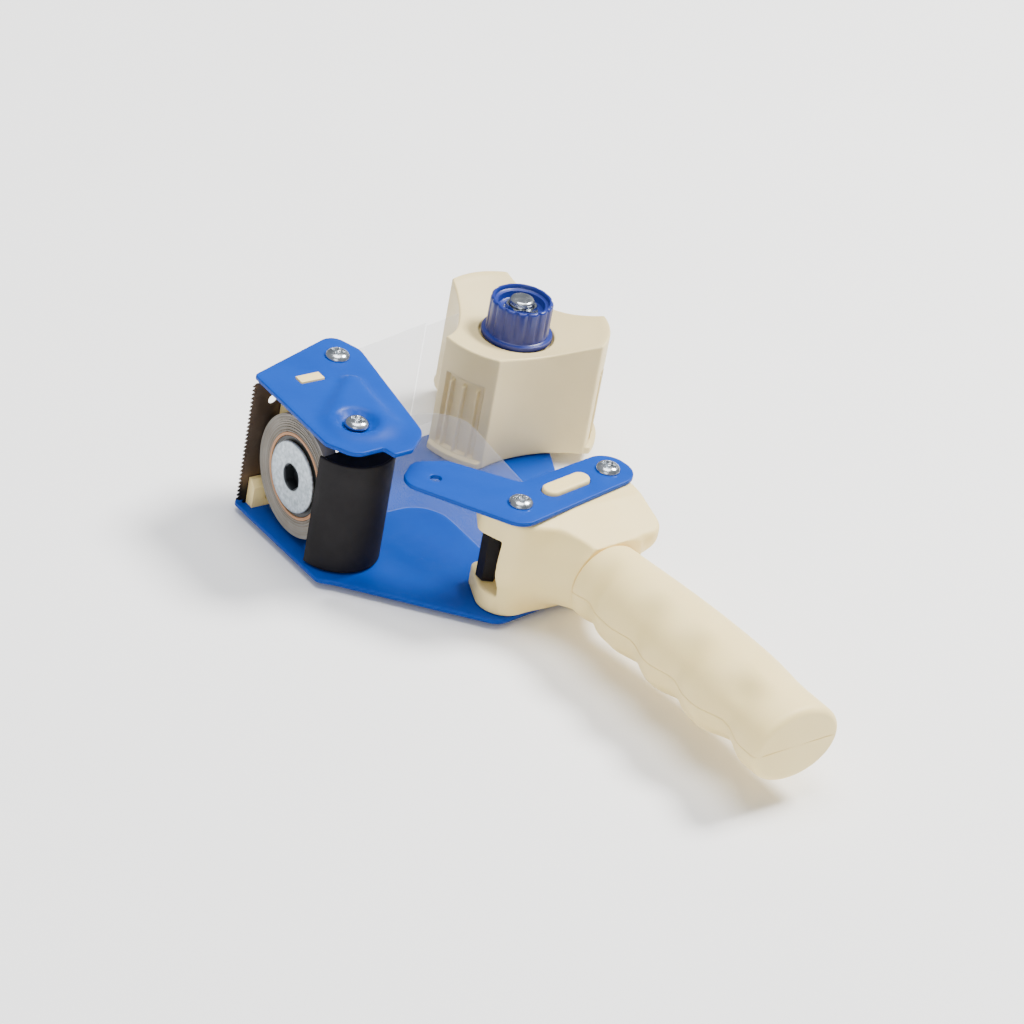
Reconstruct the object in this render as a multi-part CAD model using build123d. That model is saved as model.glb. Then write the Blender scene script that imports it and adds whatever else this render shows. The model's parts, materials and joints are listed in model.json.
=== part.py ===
from build123d import *
import math
import os

os.makedirs("parts", exist_ok=True)

# A hand-held packing tape dispenser lying on its side: the flat base plate is at the bottom, the hub for the
# tape roll stands up from it, the cutting blade faces -X and the handle runs towards -Y.
# Lengths are in millimetres. While the pieces are drawn, Z is zero on the base plate's underside, and X and Y are
# zero at a point just in front of the hub bolt, HUB_AT. The pieces are then moved together so that the origin is
# the middle of the footprint, on the floor.

# ---- driving dimensions ----
PLATE_T = 2.0                 # sheet steel of the base plate, the front top plate and the rear arm
TOP_GAP = 55.6                # clear gap between the base plate and the front top plate
HEAD_TOP_Z = 45.5             # top of the handle head, where the rear arm lies
GAP = 0.3                     # free space between neighbouring moving pieces
RUN_FIT = 0.06                # radial clearance of a running fit
TOP_Z = PLATE_T + TOP_GAP     # underside of the front top plate

SCREW_R = 2.5                 # shank radius of the cross-head screws
SCREW_HEAD_R = 4.9
SCREW_HEAD_H = 2.6
SCREW_LENGTH = 12.0
ARM_SCREW_LENGTH = 9.0
BOTTOM_SCREW_LENGTH = 7.0

HUB_AT = (9.0, 10.4)          # the hub's axis
HUB_R = 36.6                  # outer radius of the hub's three wings, for a 76 mm core
HUB_H = 50.7
HUB_WING_MID = 83.3           # direction of the first wing's middle, degrees
HUB_WING_HALF = 20.5          # half the angle that a wing spans
HUB_WAIST_R = 23.5            # distance of the concave sides from the axis
HUB_Z = PLATE_T + 0.7
HUB_WALL = 3.0
HUB_DISH_Z = 41.25            # point of the cone that the top is dished to
HUB_DISH_SLOPE = 0.33
HUB_CORNER_R = 2.0
HUB_LIP_R = 39.0              # lip at the foot of each wing, which stops the core
HUB_LIP_H = 3.6
HUB_LIP_HALF = 18.5
PANEL_DEPTH = 1.2             # recessed panel with three grip ribs on each wing
PANEL_HALF = 13.9             # half angle of the panel, degrees
PANEL_Z = (4.2, 36.6)         # bottom and top of the panel, above the hub's own underside
RIB_STEP = 9.6                # angle between ribs, degrees
RIB_HALF = 1.4
RIB_TOP_GAP = 1.8             # the ribs stop short of the panel's top
BOLT_R = 5.0
BOLT_TOP_Z = 62.7
BOLT_HEAD_R = 10.0
WASHER_R = 10.6
WASHER_Z = (42.7, 43.9)       # pressure washer on the tension spring
SPRING_POCKET_R = 11.2
SPRING_POCKET_Z = 30.4
COLLAR_POCKET_R = 15.2
COLLAR_POCKET_Z = 43.4
KNOB_R = 12.7
KNOB_COLLAR_R = 14.4
KNOB_COLLAR_H = 2.2
KNOB_Z = 45.7
KNOB_TOP_Z = 62.2
KNOB_WELL_R = 9.4             # open well in the knob's top
KNOB_NECK_CLEARANCE = 0.35    # between the knob's neck and the pressure washer
FLUTES = 16
FLUTE_R = 1.15
INSERT_R = 7.0                # steel insert in the knob, below its hexagon flange
INSERT_Z = (47.8, 57.3)
FLANGE_R = 6.6
FLANGE_H = 2.6

AXLE = (-104.3, -43.1)        # upright axle of the front guide
POST = (-84.2, 1.8)           # spacer post at the back of the front plate
AXLE_R = 4.0
GUIDE_R = 16.8                # outer radius of the curved black guide
GUIDE_T = 1.3
GUIDE_START = 188.0           # direction of the guide's free edge
GUIDE_END = 352.0
GUIDE_WEB_T = 1.8

FILM_T = 0.4                  # the clear film, drawn thicker than its 0.1 mm so that it stays a solid
FILM_X = -50.0
FILM_BEND_R = 14.0
GUIDE_TOP_Z = 50.5

REEL_R = 24.6                 # small front reel, whose axis is along X
REEL_Y = -26.0
REEL_Z = 28.4
REEL_FACE_X = -116.8
REEL_W = 6.2
REEL_CORE_R = 17.4
REEL_CORE_IN_R = 16.1
REEL_BUSH_BORE_R = 6.0
REEL_HEAD_R = 14.3
REEL_HEAD_T = 1.2
BRACKET_X = -109.8            # face of the bracket wall behind the reel
BRACKET_T = 2.4
BRACKET_Y = (-36.0, -1.2)
BACK_WALL = (-96.5, -11.2)    # far end and far side of the wall that backs the blade
TENON = (-108.5, -98.1, -10.6, -6.0)
LUG_X = (-119.4, -113.6)      # lug at the blade's foot
LUG_TOP_Z = 13.6

BLADE_X = -123.6              # tips of the teeth
BLADE_Y = -0.4
BLADE_T = 0.8
BLADE_TEETH = 29
TOOTH_DEPTH = 1.6
BLADE_TAB_X = (-120.2, -115.0)
BLADE_HOLE = (-113.6, 47.6)
BLADE_HOLE_R = 2.0

ARM_SCREWS = [(-62.8, -97.0), (-16.3, -89.0)]
ARM_HOLE = (-84.1, -70.5)
ARM_HOLE_R = 2.2
BOSS_AT = (-38.7, -92.6)
ARM_ANGLE = 9.8               # direction of the arm's long leg
BOSS_L = 23.0
BOSS_W = 7.5

HANDLE_X = -38.8              # middle of the collar, where the grip starts
COLLAR_Y = -124.4
HANDLE_Z = 24.0
HANDLE_TILT = 2.4             # the grip leans this many degrees from -Y towards +X
GRIP_L = 117.0
GRIP_R0 = 15.9
GRIP_R1 = 20.2                # half width of the butt, from the finger side to the palm side
GRIP_BUTT_HALF_H = 15.5
GRIP_SWELL = 1.8              # palm swell, half way along
FINGER_AT = (0.09, 0.32, 0.54, 0.79)
FINGER_R = 19.0               # radius of the round cutter that makes one finger groove
FINGER_DEPTH = 2.4
STEM_R = 11.0
STEM_L = 92.0

ROLLER_AT = (-67.0, -90.0)    # guide roller in the handle head
ROLLER_R = 4.6
SLOT_FLOOR_Z = 10.5
SLOT_ROOF_Z = 35.5
SLOT_BACK_X = -54.5
SLOT_END_Y = -102.3
ROLLER_PIN_R = 1.5
ROLLER_PIN_END = 4.0          # how far the pin runs into the head above and below the slot
SCREW_TIP = 0.6               # free depth past a screw's end

FLOOR_Z = -SCREW_HEAD_H       # the screw heads and the hub bolt's head are what the object rests on


def at(x, y, z=0.0):
    return Location((x, y, z))


def rod(radius, z0, z1, x=0.0, y=0.0):
    return at(x, y, (z0 + z1) / 2) * Cylinder(radius, z1 - z0)


def block(x0, x1, y0, y1, z0, z1):
    return at((x0 + x1) / 2, (y0 + y1) / 2, (z0 + z1) / 2) * Box(x1 - x0, y1 - y0, z1 - z0)


def rod_x(radius, x0, x1, y, z):
    return at((x0 + x1) / 2, y, z) * Rotation(0, 90, 0) * Cylinder(radius, x1 - x0)


def rounded_prism(points, radii, z0, z1):
    path = FilletPolyline(*points, radius=radii, close=True)
    return at(0, 0, z0) * extrude(make_face(path), z1 - z0)


def polar(radius, degrees, centre=(0.0, 0.0)):
    angle = math.radians(degrees)
    return (centre[0] + radius * math.cos(angle), centre[1] + radius * math.sin(angle))


# ---- sheet steel ----
def base_plate():
    outline = [(-123.0, 2.6), (-121.8, -57.0), (-116.6, -61.0), (-71.0, -107.6), (-8.0, -98.5),
               (8.5, -33.5), (35.0, 23.4)]
    plate = rounded_prism(outline, [3.0, 3.5, 3.5, 8.0, 8.0, 30.0, 13.0], 0, PLATE_T)
    for x, y in [POST, AXLE] + ARM_SCREWS:
        plate -= rod(SCREW_R + 0.2, -1, PLATE_T + 1, x, y)
    plate -= at(HUB_AT[0], HUB_AT[1]) * Box(2 * BOLT_R + 0.2, 2 * BOLT_R + 0.2, 3 * PLATE_T)
    slit = (BLADE_TAB_X[0] - 0.2, BLADE_TAB_X[1] + 0.2, BLADE_Y - 0.6, BLADE_Y + 0.6)
    plate -= block(*slit, -1, PLATE_T + 1)
    return plate


def front_top_plate():
    outline = [(-122.4, 1.4), (-77.6, 16.6), (-72.6, 3.0), (-82.6, -57.0), (-93.5, -66.0), (-102.0, -66.4),
               (-103.4, -61.0), (-116.0, -61.4), (-122.8, -50.0)]
    plate = rounded_prism(outline, [2.5, 6.0, 10.0, 11.0, 3.0, 1.0, 1.0, 7.0, 5.0], TOP_Z, TOP_Z + PLATE_T)
    for x, y in [POST, AXLE]:
        plate -= rod(SCREW_R + 0.2, TOP_Z - 1, TOP_Z + PLATE_T + 1, x, y)
    x0, x1, y0, y1 = TENON
    plate -= block(x0 - 0.2, x1 + 0.2, y0 - 0.2, y1 + 0.2, TOP_Z - 1, TOP_Z + PLATE_T + 1)
    return plate


def rear_top_arm():
    outline = [(-72.6, -61.6), (-54.0, -84.6), (-8.6, -77.6), (-5.2, -97.0), (-70.5, -110.8), (-98.5, -67.5),
               (-86.0, -57.0)]
    arm = rounded_prism(outline, [7.5, 3.0, 9.3, 9.3, 9.0, 8.0, 8.0], HEAD_TOP_Z, HEAD_TOP_Z + PLATE_T)
    for x, y in ARM_SCREWS:
        arm -= rod(SCREW_R + 0.2, HEAD_TOP_Z - 1, HEAD_TOP_Z + PLATE_T + 1, x, y)
    arm -= rod(ARM_HOLE_R, HEAD_TOP_Z - 1, HEAD_TOP_Z + PLATE_T + 1, *ARM_HOLE)
    arm -= boss(0.15)
    return arm


def boss(margin):
    shape = extrude(SlotOverall(BOSS_L + 2 * margin, BOSS_W + 2 * margin), PLATE_T + 1.6)
    return at(BOSS_AT[0], BOSS_AT[1], HEAD_TOP_Z - 0.1) * Rotation(0, 0, ARM_ANGLE) * shape


# ---- screws, posts and the hub bolt ----
def pan_screw(x, y, seat_z, length, up):
    head = rod(SCREW_HEAD_R, 0, SCREW_HEAD_H)
    head = fillet(head.edges().group_by(Axis.Z)[-1], SCREW_HEAD_H * 0.85)
    for turn in (0, 90):
        head -= at(0, 0, SCREW_HEAD_H) * Rotation(0, 0, turn) * Box(5.4, 1.1, 2.4)
    screw = head + rod(SCREW_R, -length, 0.1)
    if not up:
        screw = Rotation(180, 0, 0) * screw
    return at(x, y, seat_z) * screw


def top_screws():
    front = [pan_screw(x, y, TOP_Z + PLATE_T, SCREW_LENGTH, True) for x, y in [POST, AXLE]]
    rear = [pan_screw(x, y, HEAD_TOP_Z + PLATE_T, ARM_SCREW_LENGTH, True) for x, y in ARM_SCREWS]
    return Compound(children=front + rear)


def bottom_screws():
    places = [POST, AXLE] + ARM_SCREWS
    return Compound(children=[pan_screw(x, y, 0, BOTTOM_SCREW_LENGTH, False) for x, y in places])


def tapped_post(x, y, radius):
    post = rod(radius, PLATE_T, TOP_Z, x, y)
    post -= rod(SCREW_R, PLATE_T - 1, BOTTOM_SCREW_LENGTH + SCREW_TIP, x, y)
    post -= rod(SCREW_R, TOP_Z + PLATE_T - SCREW_LENGTH - SCREW_TIP, TOP_Z + 1, x, y)
    return post


def front_axle():
    return tapped_post(AXLE[0], AXLE[1], AXLE_R)


def hub_bolt():
    head = rod(BOLT_HEAD_R, FLOOR_Z, 0)
    head = fillet(head.edges().group_by(Axis.Z)[0], 2.0)
    neck = block(-BOLT_R, BOLT_R, -BOLT_R, BOLT_R, -0.1, PLATE_T - 0.1)
    shank = rod(BOLT_R, 0, BOLT_TOP_Z)
    shank = chamfer(shank.edges().group_by(Axis.Z)[-1], 0.8)
    return head + neck + shank


# ---- tape hub and its tension parts ----
def hub_outline():
    edges = []
    for wing in range(3):
        middle = HUB_WING_MID + 120 * wing
        first = polar(HUB_R, middle - HUB_WING_HALF)
        crown = polar(HUB_R + 0.4, middle)
        last = polar(HUB_R, middle + HUB_WING_HALF)
        waist = polar(HUB_WAIST_R, middle + 60)
        nxt = polar(HUB_R, middle + 120 - HUB_WING_HALF)
        edges.append(ThreePointArc(first, crown, last))
        edges.append(ThreePointArc(last, waist, nxt))
    return make_face(edges)


def tape_hub():
    dish_h = 16.0
    body = extrude(hub_outline(), HUB_H)
    body = fillet(body.edges().filter_by(Axis.Z), HUB_CORNER_R)
    dish = Cone(0.1, 0.1 + dish_h / HUB_DISH_SLOPE, dish_h)
    body -= at(0, 0, HUB_DISH_Z - HUB_Z + dish_h / 2) * dish
    floor = HUB_R - PANEL_DEPTH
    for wing in range(3):
        middle = HUB_WING_MID + 120 * wing
        lip_ends = (middle - HUB_LIP_HALF, middle + HUB_LIP_HALF)
        body += arc_wall((0, 0), HUB_LIP_R, HUB_R - 4.0, *lip_ends, 0, HUB_LIP_H)
        body -= arc_wall((0, 0), HUB_R + 2.0, floor, middle - PANEL_HALF, middle + PANEL_HALF, *PANEL_Z)
        for rib in (-1, 0, 1):
            rib_mid = middle + rib * RIB_STEP
            body += arc_wall((0, 0), HUB_R, floor - 0.5, rib_mid - RIB_HALF, rib_mid + RIB_HALF,
                             PANEL_Z[0] - 0.5, PANEL_Z[1] - RIB_TOP_GAP)
    hollow = extrude(offset(hub_outline(), -HUB_WALL), SPRING_POCKET_Z - HUB_Z - HUB_WALL)
    body -= hollow - rod(BOLT_R + 3.0, -1, HUB_H)
    body = at(0, 0, HUB_Z) * body
    body -= rod(BOLT_R + RUN_FIT, HUB_Z - 1, HUB_H)
    body -= rod(SPRING_POCKET_R, SPRING_POCKET_Z, HUB_H)
    body -= rod(COLLAR_POCKET_R, COLLAR_POCKET_Z, HUB_Z + HUB_H)
    return body


def ring(outer, inner, z0, z1):
    return rod(outer, z0, z1) - rod(inner, z0 - 1, z1 + 1)


def spring(mean_r, wire_r, z0, z1, turns):
    coil = Helix((z1 - z0 - 2 * wire_r) / turns, z1 - z0 - 2 * wire_r, mean_r)
    start = Plane(origin=coil @ 0, z_dir=coil % 0)
    wire = sweep(start * Circle(wire_r), path=coil)
    return at(0, 0, z0 + wire_r) * wire


def tension_knob():
    collar_top = KNOB_Z + KNOB_COLLAR_H
    neck = rod(WASHER_R - 1.2, WASHER_Z[1] + KNOB_NECK_CLEARANCE, KNOB_Z)
    collar = rod(KNOB_COLLAR_R, KNOB_Z, collar_top)
    grip = rod(KNOB_R, collar_top, KNOB_TOP_Z)
    for flute in range(FLUTES):
        x, y = polar(KNOB_R + FLUTE_R / 2, 360 / FLUTES * flute)
        grip -= rod(FLUTE_R, collar_top + 1.2, KNOB_TOP_Z + 1, x, y)
    knob = neck + collar + grip
    knob -= rod(KNOB_WELL_R, INSERT_Z[1], KNOB_TOP_Z + 1)
    knob -= rod(INSERT_R, INSERT_Z[0], KNOB_TOP_Z)
    knob -= rod(BOLT_R + RUN_FIT, WASHER_Z[1], KNOB_TOP_Z + 1)
    return knob


def knob_insert():
    body = rod(INSERT_R, *INSERT_Z)
    flange = at(0, 0, INSERT_Z[1]) * extrude(RegularPolygon(FLANGE_R, 6), FLANGE_H)
    return body + flange - rod(BOLT_R + RUN_FIT, INSERT_Z[0] - 1, KNOB_TOP_Z + 1)


# ---- front guide, reel, bracket and blade ----
def arc_wall(centre, outer, inner, start, end, z0, z1):
    middle = (start + end) / 2
    edges = [ThreePointArc(polar(outer, start, centre), polar(outer, middle, centre), polar(outer, end, centre)),
             Line(polar(outer, end, centre), polar(inner, end, centre)),
             ThreePointArc(polar(inner, end, centre), polar(inner, middle, centre), polar(inner, start, centre)),
             Line(polar(inner, start, centre), polar(outer, start, centre))]
    return at(0, 0, z0) * extrude(make_face(edges), z1 - z0)


def front_guide():
    # A C-shaped section, turned about the axle, with two short sleeves that run on it.
    bottom = PLATE_T + 0.6
    inner = GUIDE_R - GUIDE_T
    bore = AXLE_R + RUN_FIT
    low_web = bottom + GUIDE_WEB_T
    high_web = GUIDE_TOP_Z - 3.0
    section = Polyline((bore, bottom), (GUIDE_R, bottom), (GUIDE_R, GUIDE_TOP_Z), (inner, GUIDE_TOP_Z),
                       (inner, high_web + GUIDE_WEB_T), (bore, high_web + GUIDE_WEB_T), (bore, high_web),
                       (inner, high_web), (inner, low_web), (bore, low_web), close=True)
    shell = revolve(Plane.XZ * make_face(section), Axis.Z, GUIDE_END - GUIDE_START)
    shell = Rotation(0, 0, GUIDE_START) * shell
    for z0 in (bottom, high_web):
        shell += ring(AXLE_R + 1.4, bore, z0, z0 + GUIDE_WEB_T)
    return at(AXLE[0], AXLE[1]) * shell


def guide_spring():
    coil = spring(AXLE_R + 0.9, 0.5, 5.2, 9.8, 4)
    return at(AXLE[0], AXLE[1]) * coil


def reel_ring(outer, inner, x0, x1):
    body = rod_x(outer, x0, x1, REEL_Y, REEL_Z)
    return body - rod_x(inner, x0 - 1, x1 + 1, REEL_Y, REEL_Z)


def reel_pin():
    # A shoulder screw: its wide flat head, with a hexagon socket, holds the reel against the bracket.
    seat = REEL_FACE_X - 0.2
    head = rod_x(REEL_HEAD_R, seat - REEL_HEAD_T, seat, REEL_Y, REEL_Z)
    shank = rod_x(REEL_BUSH_BORE_R - RUN_FIT, seat - 0.1, BRACKET_X + BRACKET_T, REEL_Y, REEL_Z)
    socket = Plane((REEL_FACE_X - 2.0, REEL_Y, REEL_Z), x_dir=(0, 1, 0), z_dir=(1, 0, 0))
    return head + shank - extrude(socket * RegularPolygon(5.4, 6), 6.0)


def front_bracket():
    # A moulded bracket: one wall carries the reel, the other backs the blade and is held by a tenon.
    inner = BRACKET_X + BRACKET_T
    far_x, far_y = BACK_WALL
    near_y = BRACKET_Y[1]
    foot_top = PLATE_T + 3.0
    wall = block(BRACKET_X, inner, *BRACKET_Y, PLATE_T, TOP_Z)
    back = block(BRACKET_X, far_x, far_y, near_y, PLATE_T, TOP_Z)
    tenon = block(*TENON, TOP_Z - 0.1, TOP_Z + PLATE_T + 0.4)
    foot = block(LUG_X[0], inner, near_y - 4.4, near_y, PLATE_T, foot_top)
    lug = block(*LUG_X, near_y - 4.4, near_y, foot_top - 0.1, LUG_TOP_Z)
    lug = chamfer(lug.edges().group_by(Axis.Z)[-1].sort_by(Axis.Y)[0], 2.6)
    bracket = wall + back + tenon + foot + lug
    bracket -= rod_x(REEL_BUSH_BORE_R - RUN_FIT, BRACKET_X - 1, inner + 1, REEL_Y, REEL_Z)
    return bracket


def cutting_blade():
    height = TOP_GAP - 2.6
    pitch = height / BLADE_TEETH
    low = PLATE_T + 1.2
    back = BLADE_X + 19.6
    root = BLADE_X + TOOTH_DEPTH
    tab_x0, tab_x1 = BLADE_TAB_X
    points = [(back, low), (tab_x1, low), (tab_x1, 0.3), (tab_x0, 0.3), (tab_x0, low)]
    for tooth in range(BLADE_TEETH):
        points.append((root, low + pitch * tooth))
        points.append((BLADE_X, low + pitch * (tooth + 0.35)))
    points.append((root, low + height))
    points.append((back, low + height))
    profile = Plane.XZ * make_face(Polyline(*points, close=True))
    blade = at(0, BLADE_Y + BLADE_T / 2) * extrude(profile, BLADE_T)
    blade -= at(BLADE_HOLE[0], BLADE_Y, BLADE_HOLE[1]) * Rotation(90, 0, 0) * Cylinder(BLADE_HOLE_R, 6)
    return blade


# ---- handle ----
def handle_head():
    foot = [(-66.0, -76.5), (-77.5, -96.0), (-73.0, -107.6), (-12.0, -104.0), (-9.0, -82.0), (-12.0, -76.5)]
    body = rounded_prism(foot, [4.0, 8.0, 7.0, 6.0, 5.0, 3.0], PLATE_T, HEAD_TOP_Z)
    shoulder = [(-60.0, -95.0), (-54.0, -112.5), (-42.0, -123.5), (-11.5, -123.0), (-10.5, -95.0)]
    body += rounded_prism(shoulder, [3.0, 8.0, 5.0, 6.0, 3.0], HANDLE_Z + 6.0, HANDLE_Z + GRIP_R0)
    deep = Plane((HANDLE_X, -99.0, HANDLE_Z - 1.0), x_dir=(1, 0, 0), z_dir=(0, -1, 0))
    tilt = math.radians(HANDLE_TILT)
    neck = Plane((HANDLE_X, COLLAR_Y, HANDLE_Z), x_dir=(math.cos(tilt), math.sin(tilt), 0),
                 z_dir=(math.sin(tilt), -math.cos(tilt), 0))
    middle = Plane((HANDLE_X, -113.0, HANDLE_Z), x_dir=(1, 0, 0), z_dir=(0, -1, 0))
    body += loft([deep * RectangleRounded(66, 38, 9), middle * RectangleRounded(50, 34, 13),
                  neck * RectangleRounded(2 * GRIP_R0, 2 * GRIP_R0, GRIP_R0 - 0.3)])
    body -= block(-85.0, SLOT_BACK_X, SLOT_END_Y, -70.0, SLOT_FLOOR_Z, SLOT_ROOF_Z)
    body += boss(0.0)
    body += grip_axis() * rod(STEM_R, -STEM_L, 2.0)
    for x, y in ARM_SCREWS:
        body -= rod(SCREW_R, HEAD_TOP_Z - ARM_SCREW_LENGTH + 1, HEAD_TOP_Z + 1, x, y)
        body -= rod(SCREW_R, PLATE_T - 1, BOTTOM_SCREW_LENGTH + SCREW_TIP, x, y)
    body -= roller_pin()
    body -= block(FILM_X - 0.5, FILM_X + 0.5, -82.0, -70.0, PLATE_T - 1.0, HEAD_TOP_Z + 1.0)
    return body


def grip_axis():
    # Local Z runs up the handle, towards the head, and local X points along +X.
    return at(HANDLE_X, COLLAR_Y, HANDLE_Z) * Rotation(0, 0, HANDLE_TILT) * Rotation(-90, 0, 0)


def grip():
    # Radius of the grip at evenly spaced places from the collar to the butt.
    stations = 9
    sections = []
    for number in range(stations):
        share = number / (stations - 1)
        swell = GRIP_SWELL * math.sin(math.pi * share)
        radius = GRIP_R0 + (GRIP_R1 - GRIP_R0) * share + swell
        half_h = GRIP_R0 + (GRIP_BUTT_HALF_H - GRIP_R0) * share + swell / 2
        sections.append(Plane((swell / 2, 0, -GRIP_L * share)) * Ellipse(radius, half_h))
    body = loft(sections)
    for share in FINGER_AT:
        side = GRIP_R0 + (GRIP_R1 - GRIP_R0) * share
        middle = FINGER_DEPTH - side - FINGER_R
        body -= at(middle, 0, -GRIP_L * share) * Rotation(90, 0, 0) * Cylinder(FINGER_R, 60)
    body -= rod(STEM_R + 0.02, -STEM_L - 0.4, 1.0)
    return grip_axis() * body


def guide_roller():
    bar = extrude(RegularPolygon(ROLLER_R, 6), SLOT_ROOF_Z - SLOT_FLOOR_Z - 2 * GAP)
    bar = at(0, 0, SLOT_FLOOR_Z + GAP) * bar
    bar -= rod(ROLLER_PIN_R + RUN_FIT, 0, SLOT_ROOF_Z + 1)
    return at(ROLLER_AT[0], ROLLER_AT[1]) * bar


def roller_pin():
    return rod(ROLLER_PIN_R, SLOT_FLOOR_Z - ROLLER_PIN_END, SLOT_ROOF_Z + ROLLER_PIN_END, *ROLLER_AT)


# ---- clear film ----
def film(points, z0, z1, thickness):
    strip = None
    for start, end in zip(points[:-1], points[1:]):
        length = math.dist(start, end)
        angle = math.degrees(math.atan2(end[1] - start[1], end[0] - start[0]))
        middle = at((start[0] + end[0]) / 2, (start[1] + end[1]) / 2, (z0 + z1) / 2)
        piece = middle * Rotation(0, 0, angle) * Box(length + thickness / 2, thickness, z1 - z0)
        strip = piece if strip is None else strip + piece
    return strip


def guide_film():
    # One strip, clamped in the head's slit, that runs forward and turns in behind the front guide.
    inner_y = -28.0
    top = TOP_Z - 2.0
    centre = (FILM_X - FILM_BEND_R, inner_y - FILM_BEND_R)
    bend = [polar(FILM_BEND_R, angle, centre) for angle in range(0, 91, 15)]
    strip = film([(FILM_X, -81.0)] + bend + [(-84.0, inner_y)], PLATE_T + 0.8, top, FILM_T)
    above = Polyline((-27.0, top), (-90.0, 41.0), (-90.0, TOP_Z), (-27.0, TOP_Z), close=True)
    slope = Plane.YZ * make_face(above)
    return strip - at(FILM_X - 10, 0) * extrude(slope, 20)


def on_hub_axis(shape):
    return at(HUB_AT[0], HUB_AT[1]) * shape


PARTS = {
    "base_plate": base_plate(),
    "front_top_plate": front_top_plate(),
    "rear_top_arm": rear_top_arm(),
    "top_screws": top_screws(),
    "bottom_screws": bottom_screws(),
    "spacer_post": tapped_post(POST[0], POST[1], 5.0),
    "front_axle": front_axle(),
    "hub_bolt": on_hub_axis(hub_bolt()),
    "friction_washer": on_hub_axis(ring(14.0, BOLT_R + 0.05, PLATE_T, PLATE_T + 0.4)),
    "tape_hub": on_hub_axis(tape_hub()),
    "tension_spring": on_hub_axis(spring(8.2, 0.9, SPRING_POCKET_Z + GAP, WASHER_Z[0] - GAP, 5)),
    "pressure_washer": on_hub_axis(ring(WASHER_R, BOLT_R + RUN_FIT, *WASHER_Z)),
    "tension_knob": on_hub_axis(tension_knob()),
    "knob_insert": on_hub_axis(knob_insert()),
    "front_guide": front_guide(),
    "guide_spring": guide_spring(),
    "reel_winding": reel_ring(REEL_R, REEL_CORE_R, REEL_FACE_X, REEL_FACE_X + REEL_W),
    "reel_core": reel_ring(REEL_CORE_R, REEL_CORE_IN_R, REEL_FACE_X - 0.1, REEL_FACE_X + REEL_W),
    "reel_bushing": reel_ring(REEL_CORE_IN_R, REEL_BUSH_BORE_R, REEL_FACE_X + 0.2, REEL_FACE_X + REEL_W),
    "reel_pin": reel_pin(),
    "front_bracket": front_bracket(),
    "cutting_blade": cutting_blade(),
    "handle_head": handle_head(),
    "grip": grip(),
    "guide_roller": guide_roller(),
    "roller_pin": roller_pin(),
    "guide_film": guide_film(),
    "leader_film": film([(-79.5, 9.0), (-30.3, 19.3)], PLATE_T + 0.8, 53.8, FILM_T),
    "leader_tail": film([(-29.2, 19.5), (-11.6, 23.1)], HUB_Z + 0.6, 52.2, FILM_T),
}

boxes = [shape.bounding_box() for shape in PARTS.values()]
centre_x = (min(box.min.X for box in boxes) + max(box.max.X for box in boxes)) / 2
centre_y = (min(box.min.Y for box in boxes) + max(box.max.Y for box in boxes)) / 2
to_origin = Location((-centre_x, -centre_y, -FLOOR_Z))
for node, shape in PARTS.items():
    export_step(shape.moved(to_origin), "parts/" + node + ".step")
print("drawing origin at", round(-centre_x, 3), round(-centre_y, 3), "and the base plate's underside at", -FLOOR_Z)
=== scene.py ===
import json
import math
import random

import bmesh
import bpy
import numpy as np
from mathutils import Matrix, Vector
from mathutils.geometry import delaunay_2d_cdt


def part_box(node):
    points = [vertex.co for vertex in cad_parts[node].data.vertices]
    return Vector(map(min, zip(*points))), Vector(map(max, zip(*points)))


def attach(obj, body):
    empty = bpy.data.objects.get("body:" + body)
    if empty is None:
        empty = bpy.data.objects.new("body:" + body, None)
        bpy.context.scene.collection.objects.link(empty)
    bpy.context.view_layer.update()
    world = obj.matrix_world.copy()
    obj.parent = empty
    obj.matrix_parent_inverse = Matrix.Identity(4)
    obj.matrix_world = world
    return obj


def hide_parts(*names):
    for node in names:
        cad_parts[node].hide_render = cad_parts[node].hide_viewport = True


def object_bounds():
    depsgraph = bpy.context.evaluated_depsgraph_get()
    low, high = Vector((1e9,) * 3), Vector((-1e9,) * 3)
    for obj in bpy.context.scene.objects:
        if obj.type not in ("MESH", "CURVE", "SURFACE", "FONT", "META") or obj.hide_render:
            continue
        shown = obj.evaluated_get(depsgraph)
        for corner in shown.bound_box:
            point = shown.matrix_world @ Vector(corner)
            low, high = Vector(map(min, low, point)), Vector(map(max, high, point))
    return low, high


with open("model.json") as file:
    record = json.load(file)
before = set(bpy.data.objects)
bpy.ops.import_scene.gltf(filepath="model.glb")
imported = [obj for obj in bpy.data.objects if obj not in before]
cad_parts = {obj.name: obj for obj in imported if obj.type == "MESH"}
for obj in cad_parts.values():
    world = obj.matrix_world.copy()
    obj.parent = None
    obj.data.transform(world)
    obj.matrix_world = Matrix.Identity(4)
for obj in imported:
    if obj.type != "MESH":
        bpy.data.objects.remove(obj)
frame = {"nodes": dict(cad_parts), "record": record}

CAD_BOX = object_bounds()
MM = 0.001

# ------------------------------------------------------------------ places, all taken from the frame
# Lengths below are millimetres from the drawing origin: HUB_AT is the hub's axis, and z is zero on the base
# plate's underside.
HUB_AT = (9.0, 10.4)
BOLT_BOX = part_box("hub_bolt")
ORIGIN_X = (BOLT_BOX[0][0] + BOLT_BOX[1][0]) / 2 - HUB_AT[0] * MM
ORIGIN_Y = (BOLT_BOX[0][1] + BOLT_BOX[1][1]) / 2 - HUB_AT[1] * MM
BASE_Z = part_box("base_plate")[0][2]

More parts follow.
